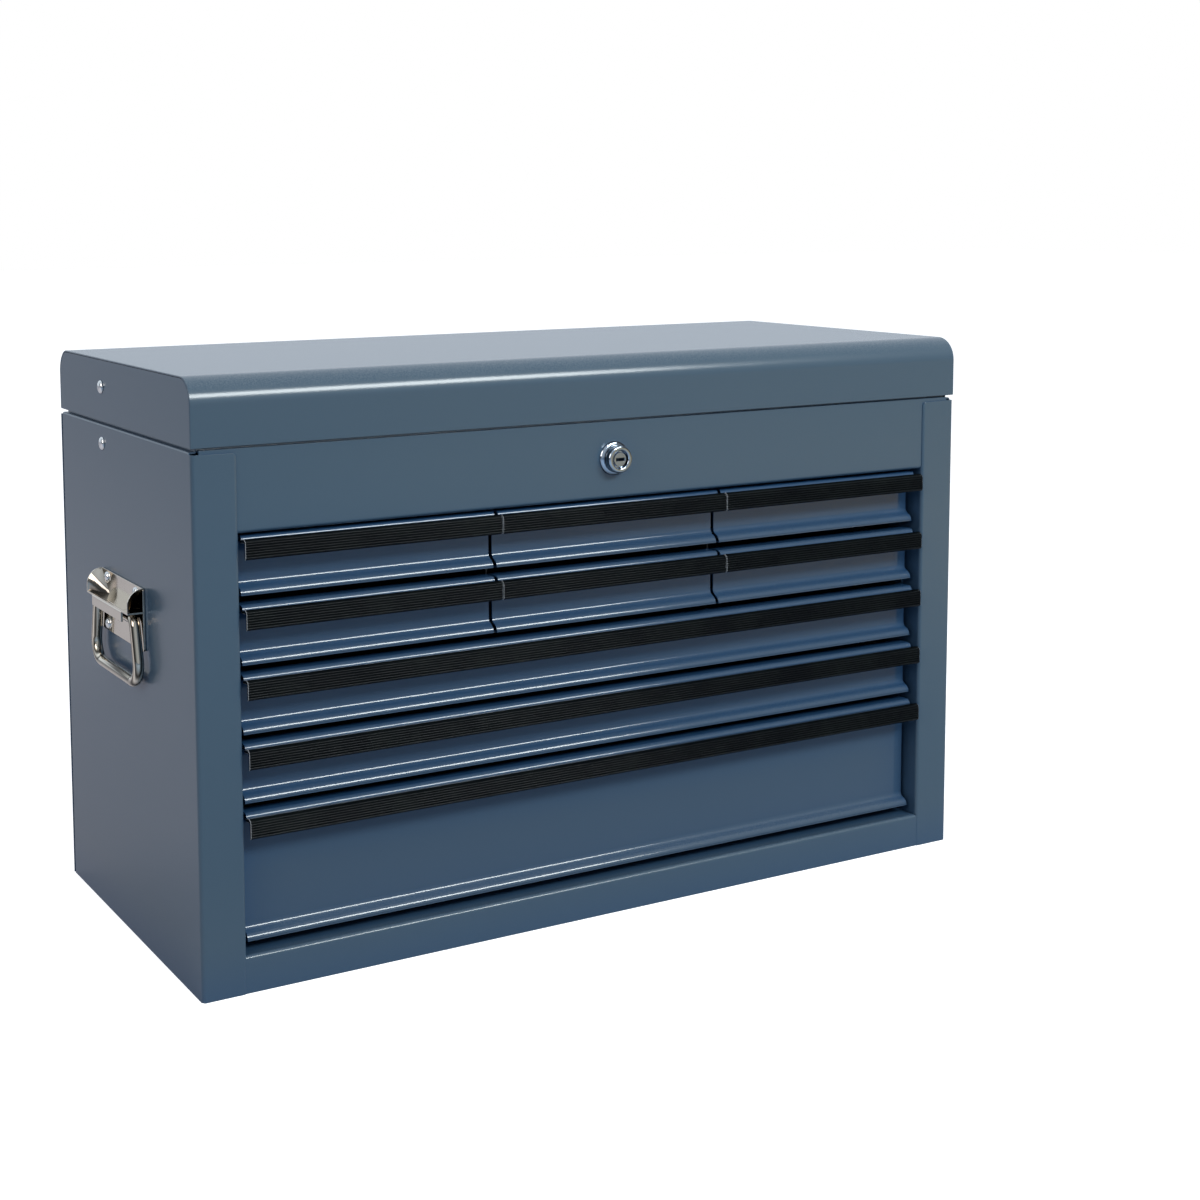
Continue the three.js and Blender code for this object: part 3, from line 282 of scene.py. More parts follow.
def piece(name, part, body, finish, replaces=(), sharp=35, bevel=0.0, closed=True,
          cut_ends=None):
    """Makes one object: mesh, merged doubles, outward faces, sharp edges, material and body.

    With cut_ends, a pair of half length and centre, only the edges of the two ends are bevelled,
    and the bevel gets the second material.
    """
    points, faces = part
    mesh = bpy.data.meshes.new(name)
    mesh.from_pydata(points.tolist(), [], faces)
    work = bmesh.new()
    work.from_mesh(mesh)
    bmesh.ops.remove_doubles(work, verts=work.verts, dist=2e-6)
    bmesh.ops.dissolve_degenerate(work, edges=work.edges, dist=1e-7)
    if closed:
        bmesh.ops.recalc_face_normals(work, faces=work.faces)
    work.to_mesh(mesh)
    work.free()
    mesh.shade_smooth()
    mesh.set_sharp_from_angle(angle=math.radians(sharp))
    for material in finish if isinstance(finish, (list, tuple)) else [finish]:
        mesh.materials.append(material)
    thing = new_object(name, mesh)
    if bevel:
        rounding = small_bevel(thing, bevel, sharp)
        rounding.use_clamp_overlap = True
        if cut_ends:
            end_edges(mesh, *cut_ends)
            rounding.limit_method, rounding.material = "WEIGHT", 1
    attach(thing, body)
    if replaces:
        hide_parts(*replaces)
    return thing


test_skin = along("x", rectangle(0, 1, 0, 1), 0, 1)
print("a box has", len(test_skin[0]), "points and", len(test_skin[1]), "faces")

# %% [markdown]
# ## Short names for nodes
# A material is a graph of nodes. Most of the ones here only mix two colours, stretch a value or
# read a noise, so each of these gets a function that returns its one useful output. A graph then
# reads like a few lines of arithmetic.


# %% Node helpers
def put(tree, socket, value):
    """Links a socket to another one, or sets its value."""
    if isinstance(value, bpy.types.NodeSocket):
        tree.links.new(value, socket)
    else:
        socket.default_value = value


def node(tree, kind, settings=None, **values):
    """Adds a node, with its own settings and its inputs by name, or by number as i0, i1, i2."""
    made = tree.nodes.new("ShaderNode" + kind)
    for key, value in (settings or {}).items():
        setattr(made, key, value)
    for key, value in values.items():
        numbered = key[0] == "i" and key[1:].isdigit()
        put(tree, made.inputs[int(key[1:]) if numbered else key.replace("_", " ")], value)
    return made


def object_place(tree):
    """The place of each point in the object's own frame."""
    return node(tree, "TexCoord").outputs["Object"]


def noise(tree, place, scale, detail, roughness):
    """A grey cloud, about 0.5 on average. The scale is in waves per metre."""
    made = node(tree, "TexNoise", Vector=place, Scale=scale, Detail=detail, Roughness=roughness)
    return made.outputs["Fac"]


def stretched(tree, value, low, high, **ends):
    """A value's range from low to high, stretched to 0 to 1 or to other ends, and clamped there."""
    return node(tree, "MapRange", Value=value, From_Min=low, From_Max=high, **ends).outputs[0]


def product(tree, first, second):
    """The first value times the second."""
    return node(tree, "Math", {"operation": "MULTIPLY"}, i0=first, i1=second).outputs[0]


def mixed(tree, share, first, second):
    """The first colour at share 0 and the second one at share 1."""
    return node(tree, "Mix", {"data_type": "RGBA"}, i0=share, i6=first, i7=second).outputs[2]


print("node helpers", [f.__name__ for f in (put, node, noise, stretched, product, mixed)])

# %% [markdown]
# ## Effects that several finishes share
# Sprayed enamel is never a mirror: it dries with a fine orange peel, its colour drifts a little
# over a large panel, and dust settles on what faces up. Plated parts carry faint brush lines.
# Each effect is one node group with named inputs, so each material can use it at its own scale.

# %% Node groups
FLOAT, COLOUR = "NodeSocketFloat", "NodeSocketColor"


def new_group(name, inputs, outputs):
    """A shader node group with float or colour sockets, and its two end nodes."""
    group = bpy.data.node_groups.new(name, "ShaderNodeTree")
    for label, kind, value in inputs:
        socket = group.interface.new_socket(label, in_out="INPUT", socket_type=kind)
        socket.default_value = value
    for label, kind in outputs:
        group.interface.new_socket(label, in_out="OUTPUT", socket_type=kind)
    return group, group.nodes.new("NodeGroupInput").outputs, group.nodes.new("NodeGroupOutput")


def orange_peel_group():
    """Height = (1 - share) broad dimples + share fine grain, both noise on Object coordinates."""
    group, given, out = new_group("orange_peel", [
        ("Dimple scale", FLOAT, 420.0), ("Grain scale", FLOAT, 1900.0), ("Grain share", FLOAT, 0.3),
    ], [("Height", FLOAT)])
    place = object_place(group)
    dimples = noise(group, place, given["Dimple scale"], 2.0, 0.45)
    grain = noise(group, place, given["Grain scale"], 1.0, 0.5)
    height = node(group, "Mix", {"data_type": "FLOAT"}, i0=given["Grain share"], i2=dimples,
                  i3=grain)
    put(group, out.inputs["Height"], height.outputs[0])
    return group


def tone_group():
    """Colour = base, drifting to a second tone by broad noise, and to dust where it faces up."""
    group, given, out = new_group("paint_tone", [
        ("Base", COLOUR, (0.1, 0.1, 0.1, 1)), ("Drift tone", COLOUR, (0.1, 0.1, 0.1, 1)),
        ("Drift", FLOAT, 0.5), ("Dust tone", COLOUR, (0.5, 0.5, 0.5, 1)), ("Dust", FLOAT, 0.05),
    ], [("Color", COLOUR)])
    place = object_place(group)
    drift = product(group, noise(group, place, 5.0, 3.0, 0.55), given["Drift"])
    drifted = mixed(group, drift, given["Base"], given["Drift tone"])
    upward = node(group, "SeparateXYZ", Vector=node(group, "NewGeometry").outputs["Normal"])
    facing_up = stretched(group, upward.outputs["Z"], 0.35, 0.95)
    specks = stretched(group, noise(group, place, 900.0, 2.0, 0.7), 0.35, 0.75)
    dust = product(group, product(group, facing_up, specks), given["Dust"])
    put(group, out.inputs["Color"], mixed(group, dust, drifted, given["Dust tone"]))
    return group


def plating_group():
    """Height of fine lines along one axis, and a roughness that drifts between two values."""
    group, given, out = new_group("plating", [
        ("Line scale", FLOAT, 900.0), ("Stretch", FLOAT, 0.03),
        ("Smooth", FLOAT, 0.1), ("Rough", FLOAT, 0.3),
    ], [("Height", FLOAT), ("Roughness", FLOAT)])
    place = object_place(group)
    squeeze = node(group, "CombineXYZ", X=1.0, Y=given["Stretch"], Z=1.0)
    drawn = node(group, "VectorMath", {"operation": "MULTIPLY"}, i0=place, i1=squeeze.outputs[0])
    lines = noise(group, drawn.outputs[0], given["Line scale"], 2.0, 0.6)
    blotches = noise(group, place, 60.0, 3.0, 0.6)
    rough = stretched(group, blotches, 0.35, 0.65, To_Min=given["Smooth"], To_Max=given["Rough"])
    put(group, out.inputs["Height"], lines)
    put(group, out.inputs["Roughness"], rough)
    return group


peel, tone, plating = orange_peel_group(), tone_group(), plating_group()
print("groups", [g.name for g in (peel, tone, plating)])

# %% [markdown]
# ## Finishes
# The enamel is a dark slate blue under gloss. Seen straight on it shows its own colour, and seen
# along the surface it mirrors the white room, so the lid looks pale from this low view. The
# glossy coat of the Principled shader does that by itself. In recesses, such as the panels under
# the pulls, an occlusion mask darkens the enamel's colour to navy: painted shade. The pulls are
# black ribbed plastic, the slides zinc plated, and the lock and the handles bright plated, with
# bright and dark bands in their colour as a painted reflection of the room.


# %% Enamel and plating
def new_material(name, **uniform):
    """A material whose Principled sockets are set directly from the given values."""
    material = bpy.data.materials.new(name)
    material.use_nodes = True
    shader = material.node_tree.nodes["Principled BSDF"]
    for key, value in uniform.items():
        shader.inputs[key.replace("_", " ")].default_value = value
    return material, material.node_tree, shader


def use_group(tree, group, **values):
    """A node group placed in a material, with its inputs by name."""
    made = tree.nodes.new("ShaderNodeGroup")
    made.node_tree = group
    for key, value in values.items():
        made.inputs[key.replace("_", " ")].default_value = value
    return made


def bump(tree, shader, height, strength, distance):
    """Tilts the shader's normal by the slope of a height. The distance is in metres."""
    raised = node(tree, "Bump", Height=height, Strength=strength, Distance=distance)
    put(tree, shader.inputs["Normal"], raised.outputs["Normal"])
    return raised.outputs["Normal"]


def enamel(name, base, drift_tone, roughness, painted_shade_tone):
    """Sprayed enamel: satin pigment under a glossy coat. The paint tone goes into the colour,
    and the orange peel into the bump. In a recess the colour is darkened towards the painted
    shade tone, by the share of the near surroundings that ambient occlusion finds open: painted
    shade."""
    material, tree, shader = new_material(name, Roughness=0.5, IOR=1.5, Specular_IOR_Level=0.12,
                                          Coat_Weight=1.0, Coat_Roughness=roughness, Coat_IOR=1.5)
    colour = use_group(tree, tone, Base=base, Drift_tone=drift_tone, Drift=0.5,
                       Dust_tone=(0.42, 0.45, 0.47, 1), Dust=0.2)
    # Painted shade: an occlusion mask darkens the colour towards the painted shade tone in recesses.
    near = node(tree, "AmbientOcclusion", {"samples": 4}, Distance=0.04)
    unshaded_share = stretched(tree, near.outputs["AO"], 0.3, 1.0)
    colour_with_painted_shade = mixed(tree, unshaded_share, painted_shade_tone, colour.outputs["Color"])
    put(tree, shader.inputs["Base Color"], colour_with_painted_shade)
    dimples = use_group(tree, peel, Dimple_scale=420.0, Grain_scale=1900.0, Grain_share=0.3)
    normal = bump(tree, shader, dimples.outputs["Height"], strength=0.12, distance=0.0001)
    put(tree, shader.inputs["Coat Normal"], normal)
    return material


def plated(name, colour, smooth, rough, strength):
    """Plated steel: full metal, drawn lines in the bump, and a drifting roughness."""
    material, tree, shader = new_material(name, Base_Color=colour, Metallic=1.0)
    lines = use_group(tree, plating, Smooth=smooth, Rough=rough)
    put(tree, shader.inputs["Roughness"], lines.outputs["Roughness"])
    bump(tree, shader, lines.outputs["Height"], strength, distance=0.0002)
    return material


def painted_reflection_plate(name, dark, bright, swings):
    """Polished plate with a painted reflection. Its colour swings from bright to dark and back
    between a face seen square on and one seen edge on, by (1 + cos(pi swings facing)) / 2, painted
    to look like the bright and dark walls of a room mirrored in it."""
    material = plated(name, bright, smooth=0.04, rough=0.14, strength=0.05)
    tree = material.node_tree
    facing_share = node(tree, "LayerWeight", Blend=0.5).outputs["Facing"]
    turn = product(tree, facing_share, swings * math.pi)
    swing = node(tree, "Math", {"operation": "COSINE"}, i0=turn).outputs[0]
    colour = mixed(tree, stretched(tree, swing, -1.0, 1.0), dark, bright)
    put(tree, tree.nodes["Principled BSDF"].inputs["Base Color"], colour)
    return material


case_paint = enamel("case_enamel", (0.050, 0.088, 0.128, 1), (0.058, 0.094, 0.126, 1),
                    roughness=0.20, painted_shade_tone=(0.028, 0.070, 0.135, 1))
# Painted shade: the drawer enamel's base is a little darker and bluer than the case's, for the
# fronts that stand back in the recess.
front_paint = enamel("drawer_enamel", (0.043, 0.078, 0.124, 1), (0.050, 0.083, 0.124, 1),
                     roughness=0.09, painted_shade_tone=(0.016, 0.062, 0.148, 1))
dark_zinc_painted_shade = plated("dark_zinc_painted_shade", (0.10, 0.10, 0.10, 1), 0.45, 0.6, 0.15)
rivet_steel = plated("rivet_steel", (0.88, 0.90, 0.90, 1), 0.06, 0.18, 0.05)
zinc = plated("zinc_plate", (0.62, 0.63, 0.63, 1), 0.25, 0.42, 0.15)
# Painted reflection: these plates' colour swings between bright and dark bands by how a face is
# turned.
chrome = painted_reflection_plate("bright_plate_painted_reflection", (0.13, 0.115, 0.095, 1), (0.86, 0.79, 0.68, 1), 3)
wire_painted_reflection = painted_reflection_plate("wire_painted_reflection", (0.09, 0.08, 0.065, 1), (1.0, 0.92, 0.77, 1), 5)
lock_plate_painted_reflection = painted_reflection_plate("lock_plate_painted_reflection", (0.05, 0.055, 0.06, 1), (0.78, 0.88, 1.0, 1), 3)
plug_steel = plated("plug_steel", (0.36, 0.41, 0.48, 1), 0.12, 0.25, 0.05)
print("enamels", case_paint.name, front_paint.name, "and plates", zinc.name, chrome.name)

# %% [markdown]
# ## Plastic, and the finish of the solids that stay
# The pulls are moulded and sawn to length, so their ends are greyer than their faces. The solids
# that no finer piece replaces, such as the slides and the back, take the finish that their slot
# in the record names. The dividers, which stand in shade between the fronts, get a dark dull zinc
# in place of that finish, as painted shade.


# %% Plastic, and the imported solids' materials
def ribbed_black():
    """Black moulded plastic with a fine grain, a trace paler in rubbed patches."""
    material, tree, shader = new_material("ribbed_black", Roughness=0.2, IOR=1.4,
                                          Specular_IOR_Level=0.2)
    worn = stretched(tree, noise(tree, object_place(tree), 35.0, 4.0, 0.6), 0.4, 0.7)
    colour = mixed(tree, worn, (0.003, 0.004, 0.005, 1), (0.006, 0.008, 0.008, 1))
    put(tree, shader.inputs["Base Color"], colour)
    grain = use_group(tree, peel, Dimple_scale=1500.0, Grain_scale=4000.0, Grain_share=0.4)
    bump(tree, shader, grain.outputs["Height"], strength=0.25, distance=0.0001)
    return material


def cut_edge():
    """The sawn ends of a pull, greyer than its face."""
    material, tree, shader = new_material("pull_cut_edge", Roughness=0.5)
    saw_marks = noise(tree, object_place(tree), 1200.0, 2.0, 0.6)
    colour = mixed(tree, saw_marks, (0.30, 0.32, 0.34, 1), (0.55, 0.57, 0.60, 1))
    put(tree, shader.inputs["Base Color"], colour)
    return material


pull_black, pull_edge = ribbed_black(), cut_edge()
FINISH = {"painted_case": case_paint, "painted_front": front_paint, "black_pull": pull_black,
          "zinc_steel": zinc, "chrome_plate": chrome}
slot_of = {part["node"]: part["material_slot"] for part in frame["record"]["subparts"]}
for name, thing in frame["nodes"].items():
    thing.data.materials.clear()
    # Painted shade: the dividers take a dark dull zinc in place of their slot's finish.
    kept = dark_zinc_painted_shade if name.endswith("divider") else FINISH[slot_of[name]]
    thing.data.materials.append(kept)
print("slots", sorted(FINISH))

# %% [markdown]
# ## Side panels
# Each side is one sheet: a lip and a return beside the drawers, the post face, the wall and a
# flange at the rear. Its top turns in over the case and up into the dust rim. A box with bevels
# can't give these folds, so the panel is a grid: one parameter runs along the plan of the sheet
# and the other up its height. Faces are left out where the sheet is cut away behind the rails,
# and Solidify gives the steel its thickness.

# %% Side panels
POST_RETURN, FLANGE, WALL_REAR = 42 * MM, 12 * MM, side_high[1]
POST_BEND, POST_FACE_DEPTH = 2.7 * MM, 1.3 * MM
POST_CORNER, POST_FOOT = 5 * MM, 2 * MM
LEDGE_CUT, RAIL_CUT = 26.8 * MM, 320.2 * MM
HAIR = 0.001 * MM


def panel_plan():
    """The sheet seen from above, as x and y: lip, return, post face, wall and rear flange.

    The wall gets two more points, where the dust rim above it starts and ends.
    """
    corners = [[OPENING_HALF + FLANGE, FRONT + POST_RETURN], [OPENING_HALF, FRONT + POST_RETURN],
               [OPENING_HALF, FRONT], [RIGHT, FRONT], [RIGHT, WALL_REAR],
               [RIGHT - FLANGE, WALL_REAR]]
    plan = rounded_path(corners, np.array([0, 1, 1, 1, 1, 0]) * POST_BEND, 8)
    rim_ends = np.array([[RIGHT, FRONT + RIM_INSET], [RIGHT, BACK - RIM_INSET]])
    wall = np.where(plan[:, 0] > RIGHT - HAIR)[0]
    return np.insert(plan, wall[1] + 1, rim_ends, axis=0).T


def side_panel_grid():
    """Grid of the outer face: plan path in x and y, and a height that ends in the rim.

    The first rows are heights: the foot, the cuts beside the two rails, and the top. The last rows
    turn in and up: x moves in by the inset of the row, and z follows it.
    The post's inner top corner is a quarter circle of radius r, with z = r - sqrt(r^2 - into^2)
    below the top, and its outer foot is 0.6 times such a quarter.
    """
    x, y = panel_plan()
    on_face = y < FRONT + POST_FACE_DEPTH
    into_corner = np.clip(POST_CORNER - (x - OPENING_HALF), 0, POST_CORNER)
    drop = POST_CORNER - np.sqrt(np.maximum(POST_CORNER**2 - into_corner**2, 0))
    into_foot = np.clip(POST_FOOT - (RIGHT - x), 0, POST_FOOT)
    lift = 0.6 * (POST_FOOT - np.sqrt(POST_FOOT**2 - into_foot**2))
    top, low = POST_TOP - np.where(on_face, drop, 0), np.where(on_face, lift, 0)
    cuts = np.full_like(x, LEDGE_CUT), np.full_like(x, RAIL_CUT)
    below_top = np.minimum(top, POST_TOP - 0.4 * MM)
    rows = [(np.zeros_like(x), zone) for zone in (low, *cuts, below_top, top)]
    rise = rounded_path([[0, POST_TOP], [0, SHOULDER], [RIM_INSET, SHOULDER],
                         [RIM_INSET, RIM_TOP]], np.array([0, 1.5, 0.3, 0]) * MM)[1:]
    rows += [(np.full_like(x, inset), np.full_like(x, z)) for inset, z in rise]
    points = np.stack([np.stack([x - inset, y, z], -1) for inset, z in rows])
    return points, kept_faces(x, y, len(rows) - 1)


def kept_faces(x, y, zones):
    """True for each face of the grid that is steel.

    The lip and the return are cut away beside the ledge of the bottom rail and behind the top
    rail. Above the wall only the shoulder and the rim go on, between the rim's two ends.
    """
    middle_x, middle_y = (x[1:] + x[:-1]) / 2, (y[1:] + y[:-1]) / 2
    behind_face = (middle_y > FRONT + POST_FACE_DEPTH) & (middle_y < 0)
    folded_in = (middle_x < RIGHT - FLANGE) & behind_face
    under_rim = (middle_x > RIGHT - HAIR) & (np.abs(middle_y) < BACK - RIM_INSET)
    keep = np.ones((zones, len(x) - 1), bool)
    keep[0, folded_in] = keep[2, folded_in] = keep[3, folded_in] = False
    keep[4:, :] = under_rim
    return keep


def open_grid(points, keep):
    """Quads of a grid, only where the mask keeps them."""
    across = points.shape[1]
    i, j = np.nonzero(keep)
    first = i * across + j
    quads = np.stack([first, first + 1, first + across + 1, first + across], -1)
    return points.reshape(-1, 3), quads.tolist()


right_panel = open_grid(*side_panel_grid())
for side, grid in (("right", right_panel), ("left", mirrored(right_panel))):
    panel = piece(f"{side}_side_sheet", grid, "case", case_paint,
                  [f"{side}_side_panel"], closed=False)
    steel = panel.modifiers.new("steel", "SOLIDIFY")
    steel.thickness, steel.offset = SHEET, -1
    steel.use_even_offset = True
    small_bevel(panel, 0.35 * MM, 50)
    outward = np.mean([f.normal.x * f.area for f in panel.data.polygons])
    print(side, "panel", len(panel.data.polygons), "faces, mean normal x", round(outward, 6))

# %% [markdown]
# ## Rails
# The top rail is one bent sheet: its face stands a little behind the posts, its top turns back
# over the case and up into the dust rim, and its lower edge turns in over the first row of
# drawers. Its upper fold has an outer radius of only 0.1 mm, because no bright line shows under
# the lid, and the rim stands as far back as the lid's strike allows, because the seam under the
# lid is dark. The bottom rail turns back into the ledge under the deep drawer. Both are sections
# carried along X. The lock's flange hides its hole, so the hole isn't cut.

# %% Rails
RAIL_FOOT, RAIL_TOP = 318 * MM, 375.6 * MM
RIM_FACE, RAIL_REAR = FRONT + 5.5 * MM, RAIL_FACE + 20 * MM
top_section = sheet_section([
    [RIM_FACE, RIM_TOP], [RIM_FACE, RAIL_TOP - 0.7 * MM], [RAIL_FACE, RAIL_TOP],
    [RAIL_FACE, RAIL_FOOT], [RAIL_REAR, RAIL_FOOT],
], SHEET, [0, 0.5 * MM, 0.1 * MM - SHEET, 1.5 * MM, 0])
LOW_RAIL_FACE, LEDGE_REAR = FRONT + 0.6 * MM, FRONT + 25.5 * MM
LEDGE, LEDGE_LIP = 26.5 * MM, 17.5 * MM
bottom_section = sheet_section([
    [LEDGE_REAR, LEDGE_LIP], [LEDGE_REAR, LEDGE], [LOW_RAIL_FACE, LEDGE], [LOW_RAIL_FACE, 0],
], SHEET, [0, 1.2 * MM, 1.5 * MM, 0])
for name, section in (("top_rail", top_section), ("bottom_rail", bottom_section)):
    part = along("x", section, -RAIL_HALF, RAIL_HALF)
    piece(name + "_sheet", part, "case", case_paint, [name], bevel=0.2 * MM)
    print(name, "section of", len(section), "points")

# %% [markdown]
# ## Lid
# The lid is one sheet bent down over the front and the back with a wide radius, so a long
# highlight runs along its front edge. A flat cap closes each end just inside the sheet, and a
# hem folds in under the front and the rear edge. The ends of the sheet get a small rounding.

# %% Lid
LID_BEND, LID_STEPS = 16.8 * MM, 20
CAP_INSET = 1.5 * MM
CAP_BEND = LID_BEND + SHEET - CAP_INSET


def lid_corners(inset):
    """The lid's section in y and z, this much smaller at the front, the back and the top."""
    return [[BACK - inset, LID_EDGE], [BACK - inset, LID_TOP - inset],
            [FRONT + inset, LID_TOP - inset], [FRONT + inset, LID_EDGE]]


def lid_end():
    """A flat cap inside the sheet, and the flange behind it that is welded to the sheet."""
    plate = rounded_path(lid_corners(CAP_INSET), [0, CAP_BEND, CAP_BEND, 0], LID_STEPS)
    bends = np.array([0, CAP_BEND - SHEET, CAP_BEND - SHEET, 0])
    flange = sheet_section(lid_corners(CAP_INSET), SHEET, bends, 12)
    return joined(along("x", plate, RIGHT - SHEET, RIGHT - 0.1 * MM),
                  along("x", flange, RIGHT - 9 * MM, RIGHT - 0.8 * MM))


def hem(near, far):
    """The fold inside an edge of the lid, between two places in y."""
    outline = rectangle(near, far, LID_EDGE + 0.2 * MM, LID_EDGE + 9.8 * MM)
    return along("x", outline, 9.5 * MM - RIGHT, RIGHT - 9.5 * MM)


lid_section = sheet_section(lid_corners(0), SHEET, [0, LID_BEND, LID_BEND, 0], LID_STEPS)
lid_sheet = joined(along("x", lid_section, -RIGHT, RIGHT),
                   hem(FRONT + 1.1 * MM, FRONT + 2.4 * MM), hem(BACK - 2.4 * MM, BACK - 1.1 * MM))
piece("lid_sheet", lid_sheet, "lid", case_paint, ["lid_top"], bevel=0.45 * MM)
right_cap = lid_end()
for side, cap in (("right", right_cap), ("left", mirrored(right_cap))):
    piece(f"{side}_lid_end", cap, "lid", case_paint, [f"{side}_lid_cap"],
          bevel=0.2 * MM)
print("lid section of", len(lid_section), "points")

# %% [markdown]
# ## Drawers
# A drawer is two pieces of sheet. Its front is folded: a flat bead on top, a step down behind the
# pull, the flat panel, a flare out to the lip and a return under the tray. That profile gives the
# two bright lines along each drawer. The tray is a pan with rounded corners. Its rim is lower than
# the front all round, which leaves the room where the hooks of the lock rods stand. The drawer
# members of the slides run along its sides.

# %% Drawers
TRAY_FRONT, TRAY_REAR = 15.4 * MM, 264 * MM
TRAY_INSET, RIM_DROP = 9.2 * MM, 10 * MM
SLIDE_FRONT, SLIDE_RISE = 24 * MM, 17 * MM


def front_section(height):
    """Profile of a drawer front in depth behind the posts and height above its lower edge."""
    h = height / MM
    bead, bead_rear, panel, lip = 5.5, 22, 15, 7.5
    step, flare, lip_top, foot = h - 5.4, 5.4, 2.6, -1.8
    points = np.array([[bead_rear, h - 6], [bead_rear, h], [bead, h], [bead, step], [panel, step],
                       [panel, flare], [lip, lip_top], [lip, foot], [panel + 0.4, foot]])
    bends = np.array([0, 1.5, 2.6, 0.3, 0.3, 4.8, 4.8, 0.3, 0])
    return sheet_section(points * MM, THIN, bends * MM)


def pan(half, height):
    """A pan from four loops: outside at the foot and the rim, inside at the rim and the floor.

    The rim is 10 mm lower than the front, so that the hooks of the lock rods pass over it.
    """
    def loop(inset):
        """The tray's outline from above, this much further in, but 0.4 times that in front."""
        return rounded_loop(half - inset, TRAY_FRONT + 0.4 * inset, TRAY_REAR - inset,
                            3 * MM - inset)
    outer, inner, rim = loop(0), loop(THIN), height - RIM_DROP
    levels = [(outer, 0.05 * MM), (outer, rim), (inner, rim), (inner, THIN)]
    rings = [np.column_stack([xy, np.full(len(xy), z)]) for xy, z in levels]
    return skin(np.stack(rings))


def drawer_member(half, small):
    """The slide member on the right wall of a tray, in x and z, with its rows of balls.

    The balls of a wide drawer run in its middle member, so only a small drawer has them here.
    """
    tall, deep = (11.2, 7.0) if small else (7.4, 5.5)
    weld = 0.4
    channel = np.array([[deep, tall], [-weld, tall], [-weld, -tall], [deep, -tall]]) * MM
    outlines = [sheet_section(channel, SHEET, 0.6 * MM, 4)]
    if small:
        ball_top = 13.5
        outlines += [rectangle(2.6, 5.6, tall - weld, ball_top) * MM,
                     rectangle(2.6, 5.6, -ball_top, weld - tall) * MM]
    return joined(*[along("y", outline + [half, SLIDE_RISE], SLIDE_FRONT, TRAY_REAR)
                    for outline in outlines])


def drawer(width, height, small):
    """Front, pan and slide members, in the drawer's own frame."""
    half = width / 2 - TRAY_INSET
    member = drawer_member(half, small)
    front = along("x", front_section(height), -width / 2, width / 2)
    return joined(front, pan(half, height), member, mirrored(member))


def drawer_place(name):
    """Middle in x, lower edge, width and height of a drawer, from its packed box."""
    low, high = box_of(name + "_drawer")
    return (low[0] + high[0]) / 2, low[2], high[0] - low[0], high[2] - low[2]


SMALL_DRAWERS = [f"{row}_{column}" for row in ("top", "second")
                 for column in ("left", "middle", "right")]
DRAWERS = SMALL_DRAWERS + ["third", "fourth", "bottom"]
for name in DRAWERS:
    x, level, width, height = drawer_place(name)
    part = shifted(drawer(width, height, name in SMALL_DRAWERS), x, FRONT, level)
    piece(name + "_drawer_sheet", part, name + "_drawer", front_paint,
          [name + "_drawer"], bevel=0.15 * MM)
print("drawers", len(DRAWERS), "of", len(front_section(height)), "points in section")

# %% [markdown]
# ## Ribbed pulls
# Each pull is a plastic strip pushed over the bead, with shallow ribs down its face. The ribs
# are modelled, not painted, because they break up the reflection in long lines. Its top slopes
# down to the back, so that the bright bend of the bead shows over it. Its cut ends show a thin
# grey edge, which is the second material of a small bevel.

# %% Pulls
RIBS, RIB_STEPS = 7, 8
PULL_OVERHANG = 1 * MM


def pull_section(height):
    """Sloping top, seven round ribs 1 mm high and a hooked back, in depth and height.

    The face is at 4.9 mm, and comes in by 1.8 mm times a square over the top fifth. Each rib is
    the absolute value of a sine.
    """
    drop, tall = 1.3, 14
    top = height / MM - drop
    bottom = top - tall
    upper, lower = top - 0.7, bottom + 0.8
    share = np.linspace(0, 1, RIBS * RIB_STEPS + 1)
    face = -4.9 + 1.8 * np.maximum(0, 1 - 5 * share) ** 2
    ribs = np.stack([face + 1.0 - np.abs(np.sin(share * RIBS * np.pi)),
                     upper + (lower - upper) * share], 1)
    crest = np.array([[5.2, top - 1.6], [-1.4, top - 0.1], [-2.4, top]])
    toe = np.array([[-3.6, bottom + 0.2], [-3.2, bottom], [-2.5, bottom + 1.2]])
    back = np.array([[-2.5, top - 4.4], [-2.3, top - 3.4], [-1.7, top - 2.9], [-0.5, top - 2.8],
                     [5.2, top - 3.6]])
    return np.vstack([crest, ribs, toe, back]) * MM


for name in DRAWERS:
    x, level, width, height = drawer_place(name)
    half = width / 2 + PULL_OVERHANG
    part = shifted(along("x", pull_section(height), -half, half), x, FRONT, level)
    piece(name + "_ribbed_pull", part, name + "_drawer", [pull_black, pull_edge],
          [name + "_pull"], sharp=60, bevel=0.4 * MM, cut_ends=(half, x))
print("pull section of", len(pull_section(height)), "points")

# %% [markdown]
# ## Lock
# The lock is turned: a flange on the rail, a raised collar with a rounded edge and a shank with
# its nut behind. The plug sits inside the collar and has a flat keyhole. Both are rings about the
# lock's line. The keyhole is a loop that the face of the plug runs into, and from there a slot
# goes in. Behind the shank the plug carries the cam, a flat arm with a hook on its end.

# %% Lock
lock_low, lock_high = box_of("lock_body")
LOCK_Z = (lock_low[2] + lock_high[2]) / 2
LOCK_SIDES = 64
KEYHOLE = np.array([3.6, 1.1])


